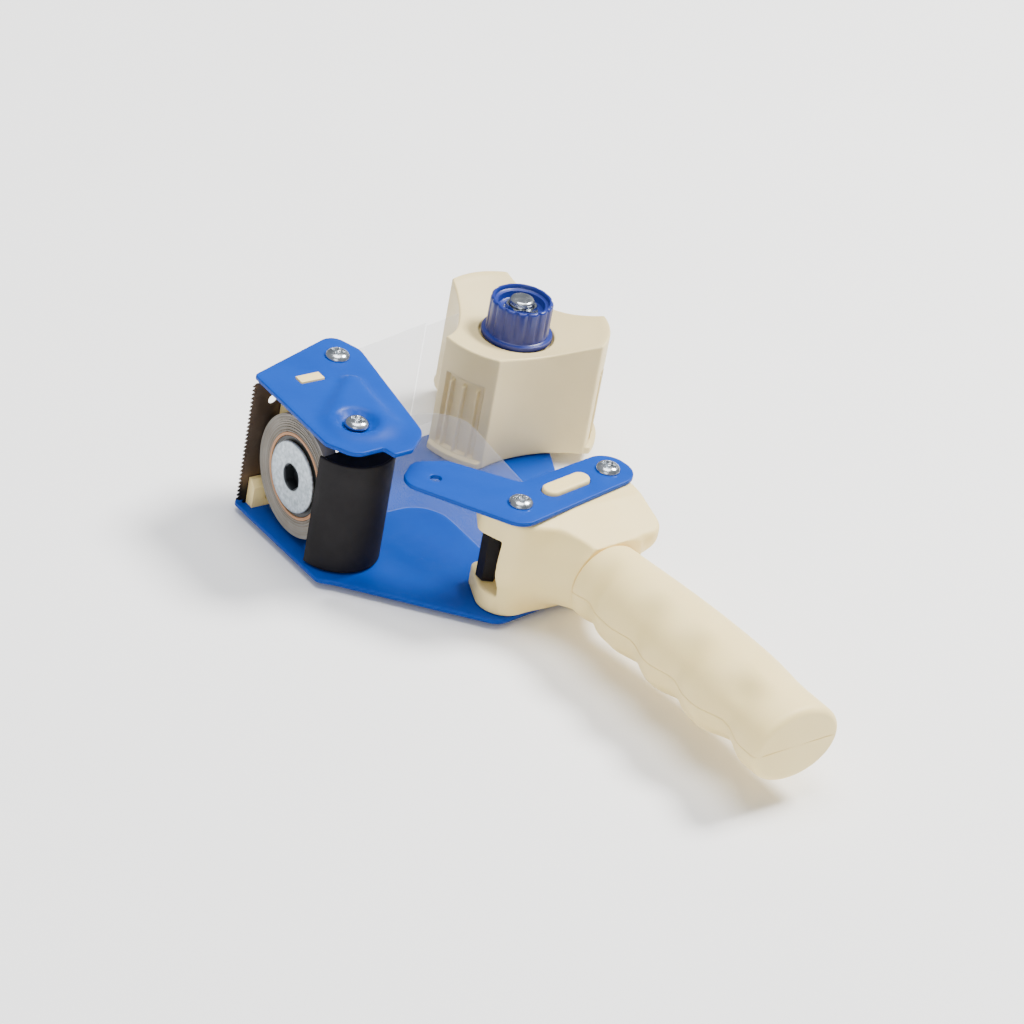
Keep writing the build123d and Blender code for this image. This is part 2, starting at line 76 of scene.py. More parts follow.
PLATE_T = 2.0
TOP_Z = 57.6                          # underside of the front top plate
HEAD_TOP_Z = 45.5
EDGE_R = 0.55                         # rounded edge of the sheet steel
AXLE = (-104.3, -43.1)
POST = (-84.2, 1.8)
ARM_SCREWS = [(-62.8, -97.0), (-16.3, -89.0)]
ARM_HOLE = (-84.1, -70.5)
ROLLER_AT = (-67.0, -90.0)
BOSS_AT = (-38.7, -92.6)
ARM_ANGLE = math.radians(9.8)
BOSS_L = 23.0
BOSS_W = 7.5

HUB_R = 36.6
HUB_WAIST_R = 23.5
HUB_WING_MID = 83.3
HUB_WING_HALF = 20.5
HUB_Z = 2.7
DISH_Z = 41.25                        # point of the cone that the hub's top is dished to
DISH_SLOPE = 0.33

REEL_Y = -26.0
REEL_Z = 28.4
REEL_FACE_X = -116.8

HANDLE_X = -38.8
COLLAR_Y = -124.4
HANDLE_Z = 24.0
HANDLE_TILT = math.radians(2.4)


def place(x, y, z):
    return Vector((ORIGIN_X + x * MM, ORIGIN_Y + y * MM, BASE_Z + z * MM))


# ------------------------------------------------------------------ materials
def node(tree, kind, **values):
    made = tree.nodes.new(kind)
    for key, value in values.items():
        setattr(made, key, value)
    return made


def noise(tree, scale, detail=3.0, stretch=(1, 1, 1)):
    where = node(tree, "ShaderNodeTexCoord")
    scaled = node(tree, "ShaderNodeMapping")
    scaled.inputs["Scale"].default_value = stretch
    tree.links.new(where.outputs["Object"], scaled.inputs["Vector"])
    made = node(tree, "ShaderNodeTexNoise")
    made.inputs["Scale"].default_value = scale
    made.inputs["Detail"].default_value = detail
    tree.links.new(scaled.outputs["Vector"], made.inputs["Vector"])
    return made.outputs["Fac"]


def ramp(tree, factor, stops):
    made = node(tree, "ShaderNodeValToRGB")
    band = made.color_ramp
    band.elements[0].position, band.elements[0].color = stops[0][0], (*stops[0][1], 1)
    band.elements[1].position, band.elements[1].color = stops[-1][0], (*stops[-1][1], 1)
    for position, colour in stops[1:-1]:
        band.elements.new(position).color = (*colour, 1)
    tree.links.new(factor, made.inputs["Fac"])
    return made.outputs["Color"]


def spread(tree, factor, low, high):
    made = node(tree, "ShaderNodeMapRange")
    made.inputs["From Min"].default_value = 0.3
    made.inputs["From Max"].default_value = 0.7
    made.inputs["To Min"].default_value = low
    made.inputs["To Max"].default_value = high
    tree.links.new(factor, made.inputs["Value"])
    return made.outputs["Result"]


def bump(tree, height, depth_mm):
    made = node(tree, "ShaderNodeBump")
    made.inputs["Strength"].default_value = 1.0
    made.inputs["Distance"].default_value = depth_mm * MM
    tree.links.new(height, made.inputs["Height"])
    return made.outputs["Normal"]


def shader(name, **constants):
    material = bpy.data.materials.new(name)
    material.use_nodes = True
    tree = material.node_tree
    surface = tree.nodes["Principled BSDF"]
    for key, value in constants.items():
        surface.inputs[key.replace("_", " ")].default_value = value
    return material, tree, surface


def dress(tree, surface, colour, rough, relief):
    for output, name in ((colour, "Base Color"), (rough, "Roughness"), (relief, "Normal")):
        tree.links.new(output, surface.inputs[name])


def moulded(name, dark, light, rough, grain_mm, depth_mm, **constants):
    """Moulded plastic: slow colour drift, a fine grain in the surface and patches of wear in the gloss."""
    material, tree, surface = shader(name, **constants)
    dress(tree, surface, ramp(tree, noise(tree, 28, 4), [(0.3, dark), (0.7, light)]),
          spread(tree, noise(tree, 90, 4), rough - 0.06, rough + 0.08),
          bump(tree, noise(tree, 1000 / grain_mm, 2), depth_mm))
    return material


def coated_steel(name, dark, light):
    """Powder coat: a slight orange peel over a saturated blue."""
    material, tree, surface = shader(name, Specular_IOR_Level=0.13)
    dress(tree, surface, ramp(tree, noise(tree, 35, 5), [(0.3, dark), (0.7, light)]),
          spread(tree, noise(tree, 150, 3), 0.36, 0.46), bump(tree, noise(tree, 950, 2), 0.018))
    return material


def bright_steel(name, dark, light, rough, stretch=(1, 1, 1)):
    material, tree, surface = shader(name, Metallic=1.0)
    dress(tree, surface, ramp(tree, noise(tree, 160, 5, stretch), [(0.3, dark), (0.7, light)]),
          spread(tree, noise(tree, 420, 4, stretch), rough - 0.08, rough + 0.12),
          bump(tree, noise(tree, 1400, 3, stretch), 0.012))
    return material


def from_axis(tree, axis_point):
    """Distance from an axis along X, in metres, so that a colour can follow a part's rings."""
    where = node(tree, "ShaderNodeTexCoord")
    shifted = node(tree, "ShaderNodeVectorMath", operation="SUBTRACT")
    shifted.inputs[1].default_value = axis_point
    flat = node(tree, "ShaderNodeVectorMath", operation="MULTIPLY")
    flat.inputs[1].default_value = (0, 1, 1)
    length = node(tree, "ShaderNodeVectorMath", operation="LENGTH")
    tree.links.new(where.outputs["Object"], shifted.inputs[0])
    tree.links.new(shifted.outputs["Vector"], flat.inputs[0])
    tree.links.new(flat.outputs["Vector"], length.inputs[0])
    return length.outputs["Value"]


def ring_noise(tree, scale, detail=2.0):
    made = node(tree, "ShaderNodeTexNoise", noise_dimensions="1D")
    made.inputs["Scale"].default_value = scale
    made.inputs["Detail"].default_value = detail
    tree.links.new(from_axis(tree, place(REEL_FACE_X, REEL_Y, REEL_Z)), made.inputs["W"])
    return made.outputs["Fac"]


def wound_layers(name):
    material, tree, surface = shader(name, Specular_IOR_Level=0.35)
    bands = ramp(tree, ring_noise(tree, 900, 3), [(0.3, (0.17, 0.145, 0.115)), (0.45, (0.30, 0.265, 0.22)),
                                                  (0.58, (0.25, 0.235, 0.21)), (0.72, (0.40, 0.37, 0.32))])
    dirt = ramp(tree, noise(tree, 110, 5), [(0.3, (0.78, 0.76, 0.74)), (0.7, (1, 1, 1))])
    mixed = node(tree, "ShaderNodeMix", data_type="RGBA", blend_type="MULTIPLY")
    mixed.inputs["Factor"].default_value = 1.0
    tree.links.new(bands, mixed.inputs["A"])
    tree.links.new(dirt, mixed.inputs["B"])
    dress(tree, surface, mixed.outputs["Result"], spread(tree, ring_noise(tree, 1500), 0.38, 0.6),
          bump(tree, ring_noise(tree, 2600, 1), 0.05))
    return material


def turned_steel(name):
    """The reel pin's head: pale zinc with faint turning marks round its axis, and painted shade in the socket.
    """
    material, tree, surface = shader(name, Metallic=0.75)
    marks = ring_noise(tree, 1200, 3)
    zinc = ramp(tree, noise(tree, 700, 4), [(0.3, (0.30, 0.35, 0.39)), (0.7, (0.56, 0.62, 0.67))])
    # Painted shade: the colour is near black inside 5.3 mm of the axis, over the socket's walls and floor, and
    # blends to zinc by 5.8 mm.
    socket_shade_mask = node(tree, "ShaderNodeMapRange")
    socket_shade_mask.inputs["From Min"].default_value = 5.3 * MM
    socket_shade_mask.inputs["From Max"].default_value = 5.8 * MM
    tree.links.new(from_axis(tree, place(REEL_FACE_X, REEL_Y, REEL_Z)), socket_shade_mask.inputs["Value"])
    mixed = node(tree, "ShaderNodeMix", data_type="RGBA")
    mixed.inputs["A"].default_value = (0.035, 0.04, 0.045, 1)
    tree.links.new(socket_shade_mask.outputs["Result"], mixed.inputs["Factor"])
    tree.links.new(zinc, mixed.inputs["B"])
    dress(tree, surface, mixed.outputs["Result"], spread(tree, noise(tree, 500, 4), 0.36, 0.55),
          bump(tree, marks, 0.02))
    return material


def blade_metal(name):
    """Near black at the foot, with a brown cast towards the top."""
    material, tree, surface = shader(name, Metallic=0.72)
    where = node(tree, "ShaderNodeTexCoord")
    split = node(tree, "ShaderNodeSeparateXYZ")
    tree.links.new(where.outputs["Object"], split.inputs["Vector"])
    rise = node(tree, "ShaderNodeMapRange")
    rise.inputs["From Min"].default_value = BASE_Z + 2 * MM
    rise.inputs["From Max"].default_value = BASE_Z + TOP_Z * MM
    tree.links.new(split.outputs["Z"], rise.inputs["Value"])
    tone = ramp(tree, rise.outputs["Result"], [(0.0, (0.010, 0.010, 0.010)), (0.10, (0.020, 0.018, 0.016)),
                                               (0.22, (0.17, 0.115, 0.075)), (0.45, (0.10, 0.075, 0.055)),
                                               (1.0, (0.15, 0.105, 0.075))])
    dress(tree, surface, tone, spread(tree, noise(tree, 260, 4, (1, 1, 0.15)), 0.34, 0.5),
          bump(tree, noise(tree, 1500, 3, (1, 1, 0.1)), 0.01))
    return material


def clear_film(name):
    material, tree, surface = shader(name, Alpha=0.15, IOR=1.49, Specular_IOR_Level=0.6)
    dress(tree, surface,
          ramp(tree, noise(tree, 60, 3), [(0.3, (0.80, 0.82, 0.86)), (0.7, (0.90, 0.91, 0.93))]),
          spread(tree, noise(tree, 45, 3), 0.08, 0.2), bump(tree, noise(tree, 70, 2), 0.25))
    return material


MATERIALS = {
    "blue_steel": coated_steel("blue powder coat", (0.0003, 0.042, 0.30), (0.0005, 0.052, 0.35)),
    "zinc_steel": bright_steel("zinc plate", (0.26, 0.29, 0.32), (0.56, 0.59, 0.62), 0.2),
    "spring_steel": bright_steel("oiled spring wire", (0.22, 0.22, 0.23), (0.40, 0.40, 0.41), 0.32),
    "blade_steel": blade_metal("blackened blade steel"),
    "hub_plastic": moulded("hub plastic", (0.72, 0.575, 0.275), (0.77, 0.63, 0.325), 0.46, 0.7, 0.02,
                           Subsurface_Weight=0.08, Subsurface_Radius=(0.004, 0.003, 0.002)),
    "handle_plastic": moulded("handle plastic", (0.90, 0.705, 0.30), (0.94, 0.75, 0.345), 0.52, 0.55, 0.028,
                              Subsurface_Weight=0.08, Subsurface_Radius=(0.004, 0.003, 0.002)),
    "knob_plastic": moulded("knob plastic", (0.004, 0.014, 0.16), (0.007, 0.022, 0.21), 0.34, 0.8, 0.02),
    "guide_plastic": moulded("guide plastic", (0.006, 0.005, 0.006), (0.010, 0.0088, 0.010), 0.6, 0.4, 0.02,
                              Specular_IOR_Level=0.18),
    "bushing_plastic": moulded("bushing plastic", (0.012, 0.013, 0.012), (0.03, 0.032, 0.03), 0.4, 0.9, 0.03),
    "fibre_washer": moulded("fibre washer", (0.22, 0.05, 0.03), (0.34, 0.09, 0.05), 0.6, 0.6, 0.04),
    "wound_tape": wound_layers("edges of wound layers"),
    "kraft_core": moulded("kraft board", (0.36, 0.17, 0.08), (0.56, 0.31, 0.17), 0.75, 0.35, 0.12),
    "clear_film": clear_film("clear film"),
}
HEAD_STEEL = turned_steel("turned zinc head")
NODE_SLOT = {part["node"]: part["material_slot"] for part in frame["record"]["subparts"]}
for name, cad in frame["nodes"].items():
    for slot in cad.material_slots:
        slot.material = MATERIALS[NODE_SLOT[name]]


# ------------------------------------------------------------------ mesh helpers
def finished(name, bm, body, nodes, material=None, crease=38):
    """Turns a bmesh in the frame into a piece that rides on a body and stands for CAD nodes."""
    bmesh.ops.remove_doubles(bm, verts=bm.verts, dist=2e-6)
    bmesh.ops.recalc_face_normals(bm, faces=bm.faces)
    mesh = bpy.data.meshes.new(name)
    bm.to_mesh(mesh)
    bm.free()
    for polygon in mesh.polygons:
        polygon.use_smooth = True
    mesh.set_sharp_from_angle(angle=math.radians(crease))
    slot = NODE_SLOT[nodes[0]]
    mesh.materials.append(material or MATERIALS[slot])
    piece = bpy.data.objects.new(name, mesh)
    bpy.context.collection.objects.link(piece)
    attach(piece, body)
    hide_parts(*nodes)


def grow(bm, points, faces):
    verts = [bm.verts.new(place(*point)) for point in points]
    for face in faces:
        bm.faces.new([verts[number] for number in face])


def round_ring(radius, height, count):
    """A level ring of points about the z axis; radius may be a number or a function of the angle."""
    angles = [math.tau * k / count for k in range(count)]
    radii = [radius(angle) if callable(radius) else radius for angle in angles]
    return [(r * math.cos(angle), r * math.sin(angle), height) for r, angle in zip(radii, angles)]


def moved_to(rings, x, y):
    return [[(x + px, y + py, z) for px, py, z in ring] for ring in rings]


def side_angle(angle, sides):
    """The angle from the middle of the nearest side of a regular polygon."""
    half = math.pi / sides
    return (angle + half) % (2 * half) - half


def loft(bm, rings, caps=(True, True)):
    """Closed rings of equal count, joined by quads, with a fan over each end that is capped."""
    count = len(rings[0])
    points = [point for ring in rings for point in ring]
    faces = []
    for row in range(len(rings) - 1):
        for column in range(count):
            after = (column + 1) % count
            faces.append((row * count + column, row * count + after,
                          (row + 1) * count + after, (row + 1) * count + column))
    for end, ring in enumerate((rings[0], rings[-1])):
        if not caps[end]:
            continue
        centre = len(points)
        points.append([sum(axis) / count for axis in zip(*ring)])
        first = 0 if end == 0 else (len(rings) - 1) * count
        for column in range(count):
            faces.append((first + column, first + (column + 1) % count, centre))
    grow(bm, points, faces)


def smooth(value, low, high):
    share = min(1.0, max(0.0, (value - low) / (high - low)))
    return share * share * (3 - 2 * share)


def between(value, low, high, soft):
    rising = smooth(value, low - soft / 2, low + soft / 2)
    return rising * (1 - smooth(value, high - soft / 2, high + soft / 2))


def rounded_outline(corners, radii, arc_step=0.5, run_step=2.0):
    """A closed outline with round corners, as evenly spaced points."""
    line = []
    count = len(corners)
    for number, radius in enumerate(radii):
        here = Vector(corners[number])
        back = (Vector(corners[number - 1]) - here).normalized()
        on = (Vector(corners[(number + 1) % count]) - here).normalized()
        half = back.angle(on) / 2
        centre = here + (back + on).normalized() * radius / math.sin(half)
        start = here + back * radius / math.tan(half) - centre
        end = here + on * radius / math.tan(half) - centre
        turn = math.atan2(start.x * end.y - start.y * end.x, start.dot(end))
        steps = max(3, int(abs(turn) * radius / arc_step))
        for step in range(steps + 1):
            angle = turn * step / steps
            line.append(centre + Matrix.Rotation(angle, 2) @ start)
    full = []
    for number, point in enumerate(line):
        after = line[(number + 1) % len(line)]
        pieces = max(1, int((after - point).length / run_step))
        full += [point.lerp(after, piece / pieces) for piece in range(pieces)]
    return full


def area(line):
    return sum(a.x * b.y - b.x * a.y for a, b in zip(line, line[1:] + line[:1])) / 2


def inset(line, distance):
    """The outline moved inwards by distance, or outwards where it is negative."""
    side = 1 if area(line) > 0 else -1
    moved = []
    for number, point in enumerate(line):
        along = (line[(number + 1) % len(line)] - line[number - 1]).normalized()
        moved.append(point + Vector((-along.y, along.x)) * side * distance)
    return moved


def circle(centre, radius, count=40):
    return [Vector((centre[0] + radius * math.cos(math.tau * k / count),
                    centre[1] + radius * math.sin(math.tau * k / count))) for k in range(count)]


def inside(points, line):
    """True for each of the points, an array, that lies inside the closed line."""
    return outline_distance(points[:, 0], points[:, 1], line) < 0


def filled(outline, holes, spacing):
    """A triangle mesh of the outline less its holes, with points spread evenly inside."""
    edge = np.array([tuple(point) for line in [outline] + holes for point in line])
    low, high = edge.min(0), edge.max(0)
    grid = []
    row = 0
    y = low[1] + spacing / 2
    while y < high[1]:
        x = low[0] + spacing * (0.25 if row % 2 else 0.75)
        while x < high[0]:
            grid.append((x, y))
            x += spacing
        y += spacing * 0.87
        row += 1
    grid = np.array(grid)
    keep = inside(grid, outline)
    for hole in holes:
        keep &= ~inside(grid, hole)
    grid = grid[keep]
    nearest = np.array([np.min(np.hypot(edge[:, 0] - x, edge[:, 1] - y)) for x, y in grid])
    grid = grid[nearest > spacing * 0.55]
    verts, edges = [], []
    for line in [outline] + holes:
        first = len(verts)
        verts += [Vector(point) for point in line]
        edges += [(first + k, first + (k + 1) % len(line)) for k in range(len(line))]
    verts += [Vector(point) for point in grid]
    flat, _, triangles, _, _, _ = delaunay_2d_cdt(verts, edges, [], 0, 1e-5, False)
    middles = np.array([[sum(flat[n].x for n in t) / 3, sum(flat[n].y for n in t) / 3] for t in triangles])
    keep = inside(middles, outline)
    for hole in holes:
        keep &= ~inside(middles, hole)
    return flat, [t for t, kept in zip(triangles, keep) if kept]


def sheet(bm, outline, holes, low, high, edge_r, spacing=4.0, rise=None):
    """Sheet of constant thickness with rounded edges; rise(x, y) presses its shape out of the flat."""
    rise = rise or (lambda x, y: 0.0)
    quarter = [math.radians(angle) for angle in (90, 60, 30, 0)]
    section = [(edge_r * (1 - math.cos(a)), low + edge_r * (1 - math.sin(a))) for a in quarter]
    section += [(edge_r * (1 - math.cos(a)), high - edge_r * (1 - math.sin(a))) for a in reversed(quarter)]
    for line, side in [(outline, 1)] + [(hole, -1) for hole in holes]:
        rings = []
        for depth, z in section:
            rings.append([(p.x, p.y, z + rise(p.x, p.y)) for p in inset(line, side * depth)])
        loft(bm, rings, caps=(False, False))
    flat, triangles = filled(inset(outline, edge_r), [inset(hole, -edge_r) for hole in holes], spacing)
    for z in (low, high):
        grow(bm, [(p.x, p.y, z + rise(p.x, p.y)) for p in flat], triangles)


def turned(bm, section, count, centre, axis="z", shape=None):
    """A section of (radius, height) turned about an axis; shape(angle, radius, height) may set the radius."""
    rings = []
    for radius, height in section:
        ring = []
        for column in range(count):
            angle = math.tau * column / count
            r = shape(angle, radius, height) if shape else radius
            across, up = r * math.cos(angle), r * math.sin(angle)
            if axis == "z":
                ring.append((centre[0] + across, centre[1] + up, height))
            else:
                ring.append((height, centre[0] + across, centre[1] + up))
        rings.append(ring)
    loft(bm, rings, caps=(False, False))


def turned_piece(name, cad_node, body, section, count, centre, **choices):
    """A whole piece turned from one closed section; choices are turned's axis and shape, and finished's own."""
    shaping = {key: choices.pop(key) for key in ("axis", "shape") if key in choices}
    bm = bmesh.new()
    turned(bm, section + section[:1], count, centre, **shaping)
    finished(name, bm, body, [cad_node], **choices)


def strip(bm, path, thickness, bottom, top):
    """An upright strip along a path, with round edges; top is a height or a function of the path's point."""
    half = thickness / 2
    arc = [math.pi * step / 6 for step in range(7)]
    rings = []
    for number, point in enumerate(path):
        along = (path[min(number + 1, len(path) - 1)] - path[max(number - 1, 0)]).normalized()
        across = Vector((-along.y, along.x))
        high = top(point) if callable(top) else top
        tall = high - bottom
        profile = [(half * math.cos(a), high - half + half * math.sin(a)) for a in arc]
        profile += [(-half, bottom + tall * level) for level in (0.75, 0.5, 0.25)]
        profile += [(-half * math.cos(a), bottom + half - half * math.sin(a)) for a in arc]
        profile += [(half, bottom + tall * level) for level in (0.25, 0.5, 0.75)]
        rings.append([(point.x + across.x * side, point.y + across.y * side, z) for side, z in profile])
    loft(bm, rings)


def softened(name, cad_node, body, width):
    """A copy of a CAD node's mesh with its sharp edges rounded."""
    bm = bmesh.new()
    bm.from_mesh(frame["nodes"][cad_node].data)
    bmesh.ops.remove_doubles(bm, verts=bm.verts, dist=2e-6)
    bmesh.ops.dissolve_limit(bm, angle_limit=math.radians(1), verts=bm.verts, edges=bm.edges)
    sharp = [edge for edge in bm.edges if len(edge.link_faces) == 2
             and edge.calc_face_angle(0.0) > math.radians(35)]
    bmesh.ops.bevel(bm, geom=sharp, offset=width * MM, segments=3, profile=0.5, affect="EDGES",
                    clamp_overlap=True)
    finished(name, bm, body, [cad_node], crease=30)


# ------------------------------------------------------------------ distance fields, for the moulded head
def blended_max(a, b, width):
    share = np.clip(0.5 + 0.5 * (a - b) / width, 0, 1)
    return b * (1 - share) + a * share + width * share * (1 - share)


def blended_min(a, b, width):
    return -blended_max(-a, -b, width)


def outline_distance(x, y, line):
    """Signed distance in the plan from a closed line, negative inside."""
    best = np.full(np.broadcast(x, y).shape, 1e9)
    within = np.zeros(best.shape, bool)
    for a, b in zip(line, line[1:] + line[:1]):
        dx, dy = b.x - a.x, b.y - a.y
        share = np.clip(((x - a.x) * dx + (y - a.y) * dy) / (dx * dx + dy * dy), 0, 1)
        best = np.minimum(best, np.hypot(x - a.x - share * dx, y - a.y - share * dy))
        if a.y != b.y:
            within ^= ((a.y > y) != (b.y > y)) & (x < dx * (y - a.y) / dy + a.x)
    return np.where(within, -best, best)


def skinned(bm, field, low, high, step):
    """The surface where field(x, y, z) is zero, as quads, each point moved onto it exactly."""
    axes = [np.arange(a, b + step, step) for a, b in zip(low, high)]
    grid = np.meshgrid(*axes, indexing="ij", sparse=True)
    values = field(*grid)
    shape = np.array(values.shape)
    cells = tuple(shape - 1)
    total = np.zeros(cells + (3,))
    hits = np.zeros(cells)
    crossings = []
    for axis in range(3):
        size = list(shape)
        size[axis] -= 1
        lower = values[tuple(slice(0, n) for n in size)]
        upper = np.take(values, range(1, shape[axis]), axis=axis)
        found = np.argwhere((lower < 0) != (upper < 0))
        a, b = lower[tuple(found.T)], upper[tuple(found.T)]
        where = found.astype(float)
        where[:, axis] += a / (a - b)
        others = [other for other in range(3) if other != axis]
        corners = []
        for shift in ((0, 0), (1, 0), (1, 1), (0, 1)):
            cell = found.copy()
            cell[:, others] -= shift
            corners.append(tuple(cell.T))
            np.add.at(total, corners[-1], where)
            np.add.at(hits, corners[-1], 1)
        crossings.append(corners)
    used = np.argwhere(hits > 0)
    index = np.full(cells, -1)
    index[tuple(used.T)] = np.arange(len(used))
    points = np.array(low) + step * total[tuple(used.T)] / hits[tuple(used.T)][:, None]
    tiny = 0.02
    for _ in range(3):
        x, y, z = points.T
        here = field(x, y, z)
        slope = np.stack([field(x + tiny, y, z) - here, field(x, y + tiny, z) - here,
                          field(x, y, z + tiny) - here], 1) / tiny
        push = here / np.maximum((slope ** 2).sum(1), 0.2)
        points -= slope * np.clip(push, -step / 2, step / 2)[:, None]
    faces = []
    for corners in crossings:
        faces += np.stack([index[cell] for cell in corners], 1).tolist()
    grow(bm, points.tolist(), faces)


# ------------------------------------------------------------------ sheet steel
def segment_distance(x, y, a, b):
    """Distance from a segment, and how far along it the nearest point is."""
    dx, dy = b[0] - a[0], b[1] - a[1]
    share = min(1.0, max(0.0, ((x - a[0]) * dx + (y - a[1]) * dy) / (dx * dx + dy * dy)))
    return math.hypot(x - a[0] - share * dx, y - a[1] - share * dy), share


def axle_emboss(x, y):
    """The pressed swelling that widens towards the axle, with a dished round seat for the screw in it."""
    away, share = segment_distance(x, y, (-89.5, -17.0), (-101.5, -41.0))
    swell = 2.3 * (1 - smooth(away, 1.0 + 8.0 * share, 6.5 + 12.0 * share))
    seat = math.hypot(x - AXLE[0], y - AXLE[1])
    return swell * smooth(seat, 5.4, 9.8) - 0.9 * (1 - smooth(seat, 5.2, 9.0))


def base_emboss(x, y):
    """A shallow round step in the base plate beside the guide, which dies away towards the handle."""
    radius = math.hypot(x + 59.5, y + 49.0)
    fade = (1 - smooth(x, -79.0, -62.0)) * (1 - smooth(y, -54.0, -40.0))
    return 0.9 * (1 - smooth(radius, 22.6, 24.4)) * fade


def plates():
    bm = bmesh.new()
    outline = rounded_outline([(-122.4, 1.4), (-77.6, 16.6), (-72.6, 3.0), (-82.6, -57.0), (-93.5, -66.0),
                               (-102.0, -66.4), (-103.4, -61.0), (-116.0, -61.4), (-122.8, -50.0)],
                              [2.5, 6.0, 10.0, 11.0, 3.0, 1.0, 1.0, 7.0, 5.0])
    window = rounded_outline([(-108.7, -10.8), (-97.9, -10.8), (-97.9, -5.8), (-108.7, -5.8)],
                             [0.5] * 4, 0.25)
    holes = [circle(POST, 2.7), circle(AXLE, 2.7), window]
    sheet(bm, outline, holes, TOP_Z, TOP_Z + PLATE_T, EDGE_R, 1.9, axle_emboss)
    finished("front_plate_pressed", bm, "frame", ["front_top_plate"])

    bm = bmesh.new()
    outline = rounded_outline([(-123.0, 2.6), (-121.8, -57.0), (-116.6, -61.0), (-71.0, -107.6),
                               (-8.0, -98.5), (8.5, -33.5), (35.0, 23.4)],
                              [3.0, 3.5, 3.5, 8.0, 8.0, 30.0, 13.0])
    slit = rounded_outline([(-120.4, -1.0), (-114.8, -1.0), (-114.8, 0.2), (-120.4, 0.2)], [0.3] * 4, 0.15)
    square = rounded_outline([(HUB_AT[0] + sx * 5.1, HUB_AT[1] + sy * 5.1) for sx, sy in
                              ((-1, -1), (1, -1), (1, 1), (-1, 1))], [0.4] * 4, 0.2)
    holes = [circle(at, 2.7) for at in [POST, AXLE] + ARM_SCREWS] + [slit, square]
    sheet(bm, outline, holes, 0.0, PLATE_T, EDGE_R, 3.2, base_emboss)
    finished("base_plate_pressed", bm, "frame", ["base_plate"])

    bm = bmesh.new()
    outline = rounded_outline([(-72.6, -61.6), (-54.0, -84.6), (-8.6, -77.6), (-5.2, -97.0), (-70.5, -110.8),
                               (-98.5, -67.5), (-86.0, -57.0)], [7.5, 3.0, 9.3, 9.3, 9.0, 8.0, 8.0])
    window = boss_outline(0.15)
    holes = [circle(at, 2.7) for at in ARM_SCREWS] + [circle(ARM_HOLE, 2.2), window]
    sheet(bm, outline, holes, HEAD_TOP_Z, HEAD_TOP_Z + PLATE_T, EDGE_R, 2.6)
    finished("rear_arm_pressed", bm, "frame", ["rear_top_arm"])


def boss_outline(margin):
    """The oblong of the boss on the handle head, as a closed line."""
    radius = BOSS_W / 2 + margin
    socket_shade_mask = BOSS_L / 2 - BOSS_W / 2
    line = []
    for end in (1, -1):
        for step in range(17):
            angle = math.pi * step / 16 - math.pi / 2 + (0 if end > 0 else math.pi)
            along = end * socket_shade_mask + radius * math.cos(angle)
            across = radius * math.sin(angle)
            line.append(Vector((BOSS_AT[0] + along * math.cos(ARM_ANGLE) - across * math.sin(ARM_ANGLE),
                                BOSS_AT[1] + along * math.sin(ARM_ANGLE) + across * math.cos(ARM_ANGLE))))
    return line


# ------------------------------------------------------------------ hub
HUB_COLUMNS = 640
WING_CROWN = 0.4
CORNER_SOFT = 0.55                     # spread of the softening at the hub's upright corners
PANEL_HALF = 13.9                      # half angle of the panel sunk in each wing
PANEL_LOW, PANEL_HIGH = 6.9, 39.3
PANEL_DEPTH = 1.7
RIB_TOP = 37.6
RIB_STEP = 9.6
RIB_W = 1.4
RIB_H = 1.8
LIP_OUT = 1.95
POCKET_R, POCKET_Z = 15.2, 43.4
SPRING_R = 11.2
WELL_Z = 30.4
HUB_BORE_R = 5.06
HUB_EDGE_R = 0.8
POCKET_EDGE_R = 0.9


def hub_radius_table(columns):
    """Radius of the hub's outline by angle: crowned wings and hollow waists; hub_outline softens the corners
    between them.
    """
    far_half = math.radians(60 - HUB_WING_HALF)
    chord_x, chord_y = HUB_R * math.cos(far_half), HUB_R * math.sin(far_half)
    sag_centre = (chord_x ** 2 + chord_y ** 2 - HUB_WAIST_R ** 2) / (2 * (chord_x - HUB_WAIST_R))
    sag_r = sag_centre - HUB_WAIST_R
    radii = []
    for column in range(columns):
        angle = math.degrees(math.tau * column / columns)
        off = (angle - HUB_WING_MID + 60) % 120 - 60
        if abs(off) <= HUB_WING_HALF:
            radii.append(HUB_R + WING_CROWN * math.cos(math.radians(off / HUB_WING_HALF * 90)))
        else:
            turn = math.radians(60 - abs(off))
            inside_root = max(0.0, sag_r ** 2 - (sag_centre * math.sin(turn)) ** 2)
            radii.append(sag_centre * math.cos(turn) - math.sqrt(inside_root))
    return radii


def hub_outline(columns):
    """Points round the hub and the outward normal at each, after the corners are softened."""
    fine = columns * 4
    radii = hub_radius_table(fine)
    raw = np.array([(r * math.cos(math.tau * k / fine), r * math.sin(math.tau * k / fine))
                    for k, r in enumerate(radii)])
    steps = np.hypot(*(np.roll(raw, -1, 0) - raw).T)
    along = np.concatenate([[0], np.cumsum(steps)])
    even = np.linspace(0, along[-1], fine, endpoint=False)
    closed = np.vstack([raw, raw[:1]])
    line = np.stack([np.interp(even, along, closed[:, 0]), np.interp(even, along, closed[:, 1])], 1)
    spacing = along[-1] / fine
    socket_shade_mask = int(3 * CORNER_SOFT / spacing)
    weights = np.exp(-0.5 * (np.arange(-socket_shade_mask, socket_shade_mask + 1) * spacing / CORNER_SOFT) ** 2)
    weights /= weights.sum()
    soft = sum(w * np.roll(line, k, 0) for w, k in zip(weights, range(-socket_shade_mask, socket_shade_mask + 1)))
    tangent = np.roll(soft, -1, 0) - np.roll(soft, 1, 0)
    tangent /= np.hypot(*tangent.T)[:, None]
    normal = np.stack([tangent[:, 1], -tangent[:, 0]], 1)
    return soft[::4], normal[::4]


